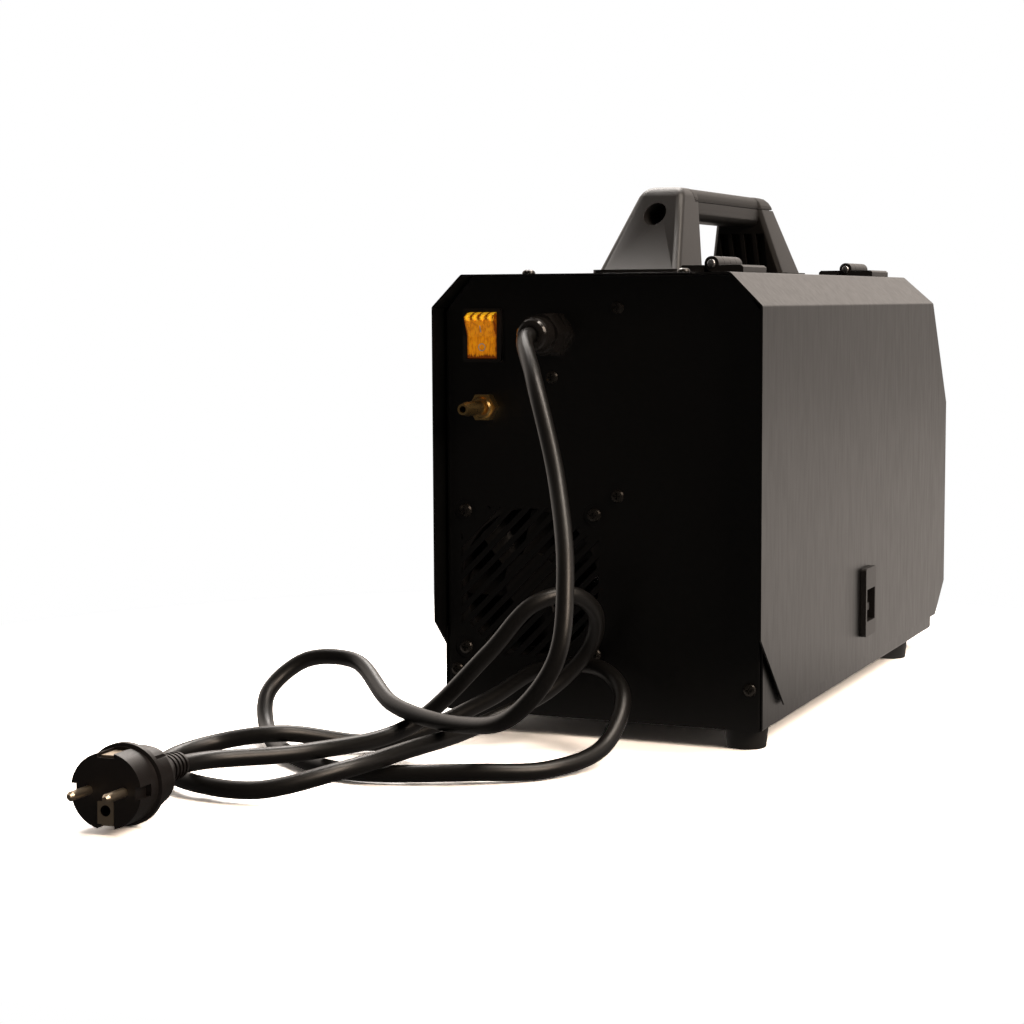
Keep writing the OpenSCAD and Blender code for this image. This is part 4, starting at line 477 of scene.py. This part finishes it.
# %% Electrical finishes
def circuit_board():
    """Green resin, with rows of paler tracks one pitch of 2.54 mm apart."""
    material, tree, shader = new_material("glass_epoxy_board", "#0f4a2c", IOR=1.55, Roughness=0.28)
    place = place_in_mm(tree)
    cells = add(tree, "TexBrick", {"Vector": place, "Scale": 1 / 2.54, "Mortar Size": 0.16, "Mortar Smooth": 0.2,
                                   "Brick Width": 3.0, "Row Height": 1.0, "Color1": linear("#0e4529"),
                                   "Color2": linear("#13532f"), "Mortar": linear("#2a7a4a")})
    tree.links.new(cells.outputs["Color"], shader.inputs["Base Color"])
    bump = add(tree, "Bump", {"Height": cells.outputs["Fac"], "Distance": 0.03 * mm})
    tree.links.new(bump.outputs["Normal"], shader.inputs["Normal"])
    return material


def capacitor_sleeve():
    """A shrunk sleeve, smooth but for broad waves."""
    material, tree, shader = new_material("shrunk_pvc_sleeve", "#1a2430", IOR=1.53, Roughness=0.22)
    grain(tree, shader, 4.0, 0.03)
    return material


def smoked_acrylic():
    """Polished sheet, very slightly wavy."""
    material, tree, shader = new_material("smoked_acrylic", "#1d0707", IOR=1.49, Roughness=0.05)
    grain(tree, shader, 6.0, 0.004)
    return material


finishes |= {"board_green": circuit_board(), "capacitor_sleeve": capacitor_sleeve(),
             "window_dark": smoked_acrylic()}
print(len(finishes), "finishes")

# %% [markdown]
# ## Finishes on the frame's parts
#
# The record says which finish each part takes. Its slot names are the keys used above, so one loop dresses all
# sixty parts, and a new part is dressed as soon as the record names its slot.

# %% Dress the parts
slot_of = {part["node"]: part["material_slot"] for part in frame["record"]["subparts"]}
for name, part in nodes.items():
    part.data.materials.clear()
    part.data.materials.append(finishes[slot_of[name]])
print("dressed", len(slot_of), "parts")


def in_finish(slot):
    """A function that gives a new piece that slot's finish."""
    def apply(piece):
        """Appends the finish."""
        piece.data.materials.append(finishes[slot])
    return apply


# %% [markdown]
# ## Soft edges
#
# Sheet that was sheared and then coated never has a knife edge: powder builds a radius of some 0.3 mm, and a
# mould leaves the same on plastic. That radius is what draws the thin bright lines along a black case. A bevel
# on the corners between flat faces makes it; the faces are first joined, since the frame's faces are loose.


# %% Edge radii
def keep_flat(part):
    """Lets the larger of two neighbouring faces rule the shading, so that only the rounding looks round."""
    weighted = part.modifiers.new("flat faces", "WEIGHTED_NORMAL")
    weighted.weight = 100
    weighted.keep_sharp = True


def soften(name, radius_mm, angle=28, segments=2):
    """Joins a part's loose triangles, merges those of one plane, and rounds the edges sharper than angle."""
    part = nodes[name]
    weld = part.modifiers.new("join", "WELD")
    weld.merge_threshold = 0.002 * mm
    flat = part.modifiers.new("planes", "DECIMATE")
    flat.decimate_type = "DISSOLVE"
    flat.angle_limit = radians(0.6)
    bevel = part.modifiers.new("edge", "BEVEL")
    bevel.width = radius_mm * mm
    bevel.segments = segments
    bevel.limit_method = "ANGLE"
    bevel.angle_limit = radians(angle)
    bevel.use_clamp_overlap = True
    keep_flat(part)


edge_radii = {"side_door": 0.3, "rear_panel": 0.25, "fixed_cover": 0.3, "base_tray": 0.3, "front_panel": 0.3,
              "switch_bezel": 0.3, "latch_body": 0.3, "latch_slider": 0.25, "hinge_cover_leaves": 0.3,
              "hinge_door_leaves": 0.3, "rubber_feet": 0.5}
for name, radius in edge_radii.items():
    soften(name, radius)
print("softened", len(edge_radii), "parts")

# %% [markdown]
# ## A smooth handle
#
# The frame's handle is cut from flat facets, because its legs lean and round over at once. A moulded handle has
# no facets, so copies of its two parts are joined up and shaded as one skin wherever neighbouring facets turn
# by less than 34 degrees. The real corners, such as the rims of the ribs, stay crisp.


# %% Smooth copies
def smooth_copy(node, name, radius_mm):
    """A joined copy of a part, smooth where facets meet at a shallow angle and rounded at its real corners."""
    shape = bmesh.new()
    shape.from_mesh(nodes[node].data)
    bmesh.ops.remove_doubles(shape, verts=shape.verts, dist=0.005 * mm)
    bmesh.ops.dissolve_limit(shape, angle_limit=radians(0.5), verts=shape.verts, edges=shape.edges)
    bmesh.ops.recalc_face_normals(shape, faces=shape.faces)
    mesh = bpy.data.meshes.new(name)
    shape.to_mesh(mesh)
    shape.free()
    mesh.shade_smooth()
    mesh.set_sharp_from_angle(angle=radians(34))
    piece = bpy.data.objects.new(name, mesh)
    bpy.context.scene.collection.objects.link(piece)
    in_finish(slot_of[node])(piece)
    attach(piece, "case")
    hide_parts(node)
    bevel = piece.modifiers.new("edge", "BEVEL")
    bevel.width, bevel.segments, bevel.limit_method = radius_mm * mm, 2, "ANGLE"
    bevel.angle_limit = radians(50)
    keep_flat(piece)
    return piece


handle = smooth_copy("handle_body", "carrying_handle", 0.4)
grip = smooth_copy("grip_cover", "grip_shell", 0.3)
print("handle", len(handle.data.polygons), "faces, grip", len(grip.data.polygons))

# %% [markdown]
# ## The seam under the grip cover
#
# The soft cover clips onto the handle along a flat joint. A tongue on the cover fills the joint a little way in
# from the surface, so the seam reads as a dark line and no light passes through it. The tongue's outline is the
# cover's own underside, drawn in by a third of a millimetre.

# %% Seam
cover_points = np.array([v.co for v in nodes["grip_cover"].data.vertices])
cover_foot = cover_points[:, 2].min()
rim = np.unique(cover_points[cover_points[:, 2] < cover_foot + 0.1 * mm].round(5), axis=0)
rim_middle = (rim[:, 0].min() + rim[:, 0].max()) / 2
stations = np.linspace(rim[:, 1].min(), rim[:, 1].max(), 41)
drawn_in = 0.35 * mm
half_rim = rim[rim[:, 0] > rim_middle]
order = np.argsort(half_rim[:, 1], kind="stable")
width = np.interp(stations, half_rim[order, 1], half_rim[order, 0]) - rim_middle - drawn_in
along = stations + np.linspace(drawn_in, -drawn_in, len(stations))
seam_low, seam_high = cover_foot - 0.5 * mm, cover_foot + 0.02 * mm
corners = [(-1, seam_low), (-1, seam_high), (1, seam_high), (1, seam_low)]
seam_points = np.stack([np.stack([rim_middle + side * width, along, np.full_like(along, height)], -1)
                        for side, height in corners], 1)
last_row = 4 * (len(stations) - 1)
add_piece("grip_seam", seam_points, grid_faces(len(stations), 4, close_columns=True), "case",
          in_finish("moulded_black"), smooth=False, ends=[range(3, -1, -1), range(last_row, last_row + 4)])
print("seam", round((along[-1] - along[0]) / mm), "mm long")

# %% [markdown]
# ## The lead as a tube
#
# The curve from above becomes rings of 24 sides. Each ring also gets a place on a flat map, round the jacket one
# way and along it the other, so that the jacket's long ripples follow every bend.

# %% The lead's tube
lead_sides = 24


def finish_lead(piece):
    """Gives the lead its jacket, and a flat map: across it one turn, along it metres times ten."""
    piece.data.materials.append(finishes["cord_black"])
    layer = piece.data.uv_layers.new(name="jacket")
    rows, columns = np.divmod(np.arange(len(lead_path) * lead_sides), lead_sides)
    corner = np.zeros(len(piece.data.loops), np.int64)
    piece.data.loops.foreach_get("vertex_index", corner)
    along = rows[corner] * (lead_length / len(lead_path)) * 10
    across = columns[corner] / lead_sides
    layer.uv.foreach_set("vector", np.stack([across, along], -1).astype(np.float32).ravel())


lead_rings = tube_grid(lead_path, lead_d / 2, lead_sides)
last_ring = (len(lead_path) - 1) * lead_sides
lead = add_piece(
    "power_lead", lead_rings, grid_faces(len(lead_path), lead_sides, close_columns=True), "case", finish_lead,
    ends=[np.arange(lead_sides)[::-1], last_ring + np.arange(lead_sides)])
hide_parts("power_cord")
print("lead tube", len(lead.data.polygons), "faces")

# %% [markdown]
# ## Marks on the switch
#
# The rocker is printed with the usual signs: a bar for on and a ring for off. Each is a flat patch of white ink
# that lies on its half of the rocker and turns with it. The rocker's two faces meet in a shallow valley, and it
# rests with its upper half out.

# %% On and off marks
switch_face = np.array([switch_middle.x, machine[1], switch_middle.z])
valley = np.array([0, 2.52, -0.75])  # where the two faces meet, in mm from the switch's middle on the panel
upper_way = np.array([0, 0.390, 0.921])  # up the half that stands out
lower_way = np.array([0, -0.019, -1.0])  # down the half that is pressed in
ink_lift = 0.06  # mm of ink above the plastic, so that the two surfaces don't coincide
ring_out, bar_out = 6.2, 5.0  # mm from the valley to each sign
ring_inner, ring_outer = 1.75, 2.35
bar_half, bar_reach = 0.33, 2.1


def white_ink():
    """Pad-printing ink: a thin, matt, warm white."""
    material, tree, shader = new_material("white_pad_print", "#d8d2c6", Roughness=0.5)
    grain(tree, shader, 0.3, 0.004)
    return material


ink = white_ink()


def in_ink(piece):
    """Gives a piece the ink. The record has no slot for it, so none is named."""
    piece.data.materials.append(ink)


def on_rocker(way, along, across, up):
    """Places on one half of the rocker, in mm: along its slope from the valley, then across and up from there."""
    side = np.sign(way[2])
    outward = np.array([0, way[2], -way[1]]) * side
    spot = valley + way * along + outward * ink_lift
    return switch_face + (spot + across[..., None] * np.array([1, 0, 0]) + up[..., None] * way * side) * mm


def printed(name, outlines, body, close=True):
    """A flat patch of ink between two outlines with the same number of points."""
    faces = grid_faces(2, outlines.shape[1], close_columns=close)
    return add_piece(name, outlines, faces, body, in_ink, smooth=False)


turn = tau * np.arange(48) / 48
ring = np.array([[ring_inner], [ring_outer]])
off_spots = on_rocker(lower_way, ring_out, ring * np.cos(turn), ring * np.sin(turn))
off_mark = printed("switch_off_mark", off_spots, "rocker")
bar_x = np.array([[bar_half, bar_half], [-bar_half, -bar_half]])
bar_z = np.array([[-bar_reach, bar_reach], [-bar_reach, bar_reach]])
on_mark = printed("switch_on_mark", on_rocker(upper_way, bar_out, bar_x, bar_z), "rocker", close=False)
print("marks", off_mark.name, on_mark.name)

# %% [markdown]
# ## Small metal parts
#
# Each hinge pin ends in a low dome, which is turned on the rod's end. On the plug's face a nickel-plated plate
# lies round the earth socket and runs out to the clip in the side. The plug lies a little askew on the floor, so
# its plate is drawn square and then turned with it.


# %% Hinge pin domes and earth plate
def revolved(name, profile, centre, body, finish, sides=32):
    """A body of revolution about a line along Y. profile holds (distance out, distance along) in mm."""
    turn = tau * np.arange(sides) / sides
    out, along = np.array(profile).T[:, :, None]
    points = np.stack([out * np.sin(turn), along + 0 * turn, out * np.cos(turn)], -1) * mm + np.asarray(centre)
    last = sides * (len(profile) - 1)
    return add_piece(name, points, grid_faces(len(profile), sides, close_columns=True)[:, ::-1], body, finish,
                     ends=[range(sides), range(last + sides - 1, last - 1, -1)])


pin_low, pin_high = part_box("hinge_pins")
hinge_pin_l = 45.8 * mm  # one pin; the box holds both, front and rear
pin_ends = {"rear": pin_high.y, "front": pin_low.y + hinge_pin_l}
dome = [(2.45, -0.6), (2.45, 0.1), (2.25, 0.45), (1.7, 0.75), (0.95, 0.93), (0.3, 0.99)]
for place, end in pin_ends.items():
    centre = ((pin_low.x + pin_high.x) / 2, end, (pin_low.z + pin_high.z) / 2)
    revolved(f"hinge_pin_dome_{place}", dome, centre, "case", in_finish("screw_zinc"))

# The plug's own frame starts at the end of its boot, and its axis rises 2.2 degrees from the floor
plug_foot = np.array([147, 228, 7.0])
plug_turn = Matrix.Rotation(radians(6), 3, "Z") @ Matrix.Rotation(radians(-90 + 2.2), 3, "X")
# The plate, in mm: the earth socket's middle and edge, half its width, its reach to the clip and to the middle
socket_y, socket_edge, half_plate, to_clip, to_middle = 9.5, 2.75, 4.3, 6.6, 4.7
plate_low, plate_high = 77.9, 78.4
plate_sides = 64
turn = tau * np.arange(plate_sides) / plate_sides
steep = [np.maximum(np.abs(part), 1e-6) for part in (np.cos(turn), np.sin(turn))]
reach = np.minimum(half_plate / steep[0], np.where(np.sin(turn) > 0, to_clip, to_middle) / steep[1])
inner = np.full(plate_sides, socket_edge)
radius = np.stack([inner, inner, reach, reach])
height = np.array([plate_low, plate_high, plate_high, plate_low])[:, None]
plate = np.stack([radius * np.cos(turn), socket_y + radius * np.sin(turn), height + 0 * radius], -1)
plate = at(0, 0, 0) + (plate @ np.array(plug_turn).T + plug_foot) * mm
earth_plate = add_piece("plug_earth_plate", plate, grid_faces(4, plate_sides, close_columns=True), "case",
                        in_finish("pin_nickel"), smooth=False)
print("domes", len(pin_ends), "plate", len(earth_plate.data.polygons), "faces")

# %% [markdown]
# ## The control face
#
# Both dials have eleven printed ticks over 270 degrees, and each knob has a white line in its notch, which turns
# with it. The frame's joints say where a knob's axis meets the sloping face and which way it points.

# %% Dials
joints = {joint["name"]: joint for joint in frame["record"]["behaviour"]["joints"]}
face_out = np.array(joints["voltage_turn"]["axis"])
face_up = np.array([0, face_out[2], -face_out[1]])


def on_face(joint, across, up, out):
    """Places on the sloping face, in mm from where that knob's axis meets it."""
    spot = across[..., None] * np.array([1, 0, 0]) + up[..., None] * face_up + out * face_out
    return np.array(joints[joint]["pos_m"]) + spot * mm


tick_count, half_dial = 11, 135  # ticks, and degrees from the top to the last of them
tick_start, long_end, short_end, half_tick = 15.2, 18.6, 17.4, 0.35  # mm from the knob's axis, and half a width
notch_out = 15.2  # mm from the sloping face to the floor of a knob's notch
tick_turn = np.radians(np.linspace(-half_dial, half_dial, tick_count))[:, None]
tick_end = np.where(np.arange(tick_count) % 5 == 0, long_end, short_end)[:, None]
tick_root = np.full((tick_count, 1), tick_start)
tick_out = np.hstack([tick_root, tick_end, tick_end, tick_root])
tick_side = np.array([[-half_tick, -half_tick, half_tick, half_tick]])
tick_x = tick_out * np.sin(tick_turn) + tick_side * np.cos(tick_turn)
tick_z = tick_out * np.cos(tick_turn) - tick_side * np.sin(tick_turn)
line_x = np.array([[-0.5, -0.5, 0.5, 0.5]])
line_z = np.array([[4.2, 8.4, 8.4, 4.2]])
tick_faces = np.arange(4 * tick_count).reshape(tick_count, 4)[:, ::-1]
for body, joint in {"voltage": "voltage_turn", "wire_speed": "wire_speed_turn"}.items():
    ticks = add_piece(f"{body}_dial_ticks", on_face(joint, tick_x, tick_z, ink_lift), tick_faces, "case",
                      in_ink, smooth=False)
    add_piece(f"{body}_pointer", on_face(joint, line_x, line_z, notch_out + ink_lift), np.array([[3, 2, 1, 0]]),
              body, in_ink, smooth=False)
    print(body, "dial, tick normal", ticks.data.polygons[0].normal.to_tuple(3))

# %% [markdown]
# ## The floor, the background and the light
#
# A studio table is white and lit until it is as bright as the paper behind it, so only the shadow near the
# machine shows. Away from the machine the floor therefore turns into plain white for the camera. The room beyond
# the camera is dark, which is why the rear panel looks black and the door, which mirrors the bright side, grey.

# %% Floor
middle = (Vector(cad_box[0]) + Vector(cad_box[1])) / 2
floor_size = 6.0
floor_mesh = bpy.data.meshes.new("studio_floor")
half = floor_size / 2
floor_mesh.from_pydata([(-half, -half, 0), (half, -half, 0), (half, half, 0), (-half, half, 0)], [], [(0, 1, 2, 3)])
floor = bpy.data.objects.new("studio_floor", floor_mesh)
bpy.context.scene.collection.objects.link(floor)

paper = bpy.data.materials.new("white_paper")
paper.use_nodes = True
tree = paper.node_tree
tree.nodes.remove(tree.nodes["Principled BSDF"])
rays = add(tree, "LightPath").outputs
place = add(tree, "TexCoord").outputs["Object"]
# The camera's film is set for the dark machine, so the paper is 3.6 times as bright as white for it
paper_lit, paper_seen = 0.4, 3.6
sheet = add(tree, "BsdfDiffuse", {"Color": ramp(tree, rays["Is Camera Ray"], 0, 1, paper_lit, paper_seen)})
plain = add(tree, "Emission", {"Color": linear("#ffffff"), "Strength": 1.0})
reach = add(tree, "VectorMath", {0: place, 1: tuple(middle.xy) + (0,)}, operation="DISTANCE").outputs["Value"]
far = ramp(tree, reach, 0.4, 0.6, shape="SMOOTHSTEP")
far_and_seen = number(tree, "MULTIPLY", far, rays["Is Camera Ray"])
seen = add(tree, "MixShader", {"Fac": far_and_seen, 1: sheet.outputs["BSDF"], 2: plain.outputs["Emission"]})
# In a reflection the paper is bright in front of the machine and dark where the room begins behind the camera.
# Only a ray's first bounce sees it so: later ones would light the shadow under the tray.
depth = add(tree, "SeparateXYZ", {"Vector": place}).outputs["Y"]
room = ramp(tree, depth, -0.2, 0.35, 0.95, 0.06)
mirrored = add(tree, "Emission", {"Color": linear("#fff2e7"), "Strength": room})
first = number(tree, "LESS_THAN", rays["Ray Depth"], 1.5)
once = number(tree, "MULTIPLY", rays["Is Glossy Ray"], first)
paper_light = add(tree, "MixShader", {"Fac": once, 1: seen.outputs["Shader"], 2: mirrored.outputs["Emission"]})
tree.links.new(paper_light.outputs["Shader"], tree.nodes["Material Output"].inputs["Surface"])
floor.data.materials.append(paper)
print("floor", floor_size, "m wide")

# %% Background and lamps
world = bpy.data.worlds.new("studio")
bpy.context.scene.world = world
world.use_nodes = True
tree = world.node_tree
tree.nodes.remove(tree.nodes["Background"])
rays = add(tree, "LightPath").outputs
way = add(tree, "SeparateXYZ", {"Vector": add(tree, "TexCoord").outputs["Generated"]}).outputs
in_front = ramp(tree, way["Y"], 0.2, -0.5, 0.04, 1.0, "SMOOTHSTEP")
beside = ramp(tree, way["X"], -0.5, -0.15, 0.4, 1.0, "SMOOTHSTEP")
ceiling = ramp(tree, way["Z"], 0.5, 0.8, 1.0, 0.3, "SMOOTHSTEP")
above = ramp(tree, way["Z"], 0.0, 0.28, 0.7, 1.5, "SMOOTHSTEP")
paper_wall = number(tree, "MULTIPLY", in_front, beside)
room_light = number(tree, "MULTIPLY", paper_wall, number(tree, "MULTIPLY", above, ceiling))
room = add(tree, "Background", {"Color": linear("#fff2e7"), "Strength": room_light})
white = add(tree, "Background", {"Color": linear("#ffffff"), "Strength": 1.0})
all_rays = add(tree, "MixShader", {"Fac": rays["Is Camera Ray"], 1: room.outputs["Background"],
                                   2: white.outputs["Background"]})
tree.links.new(all_rays.outputs["Shader"], tree.nodes["World Output"].inputs["Surface"])


def soft_box(name, direction, distance, size, radiance, colour="#ffffff"):
    """An oblong lamp that faces the machine. Its power is radiance times pi times its area."""
    lamp_data = bpy.data.lights.new(name, "AREA")
    lamp_data.shape = "RECTANGLE"
    lamp_data.size, lamp_data.size_y = size
    lamp_data.energy = radiance * pi * size[0] * size[1]
    lamp_data.color = linear(colour)[:3]
    lamp = bpy.data.objects.new(name, lamp_data)
    line = Vector(direction).normalized()
    turn = (-line).to_track_quat("-Z", "Y").to_matrix().to_4x4()
    lamp.matrix_world = Matrix.Translation(middle + line * distance) @ turn
    bpy.context.scene.collection.objects.link(lamp)
    return lamp


lamp_distance = 1.7
soft_box("overhead_box", (0.25, -0.66, 0.7), lamp_distance, (0.6, 0.6), 11, "#fff8f2")
soft_box("strip_box", (-0.44, -0.07, 0.89), lamp_distance, (0.35, 1.0), 14, "#fff2e4")
soft_box("top_spot", (0.4, -0.37, 0.84), lamp_distance, (0.22, 0.22), 16, "#fff8f2")
soft_box("side_box", (-0.8, 0.3, 0.52), lamp_distance, (0.6, 0.9), 10, "#ffe9d4")
bpy.context.scene.view_settings.view_transform = "Standard"
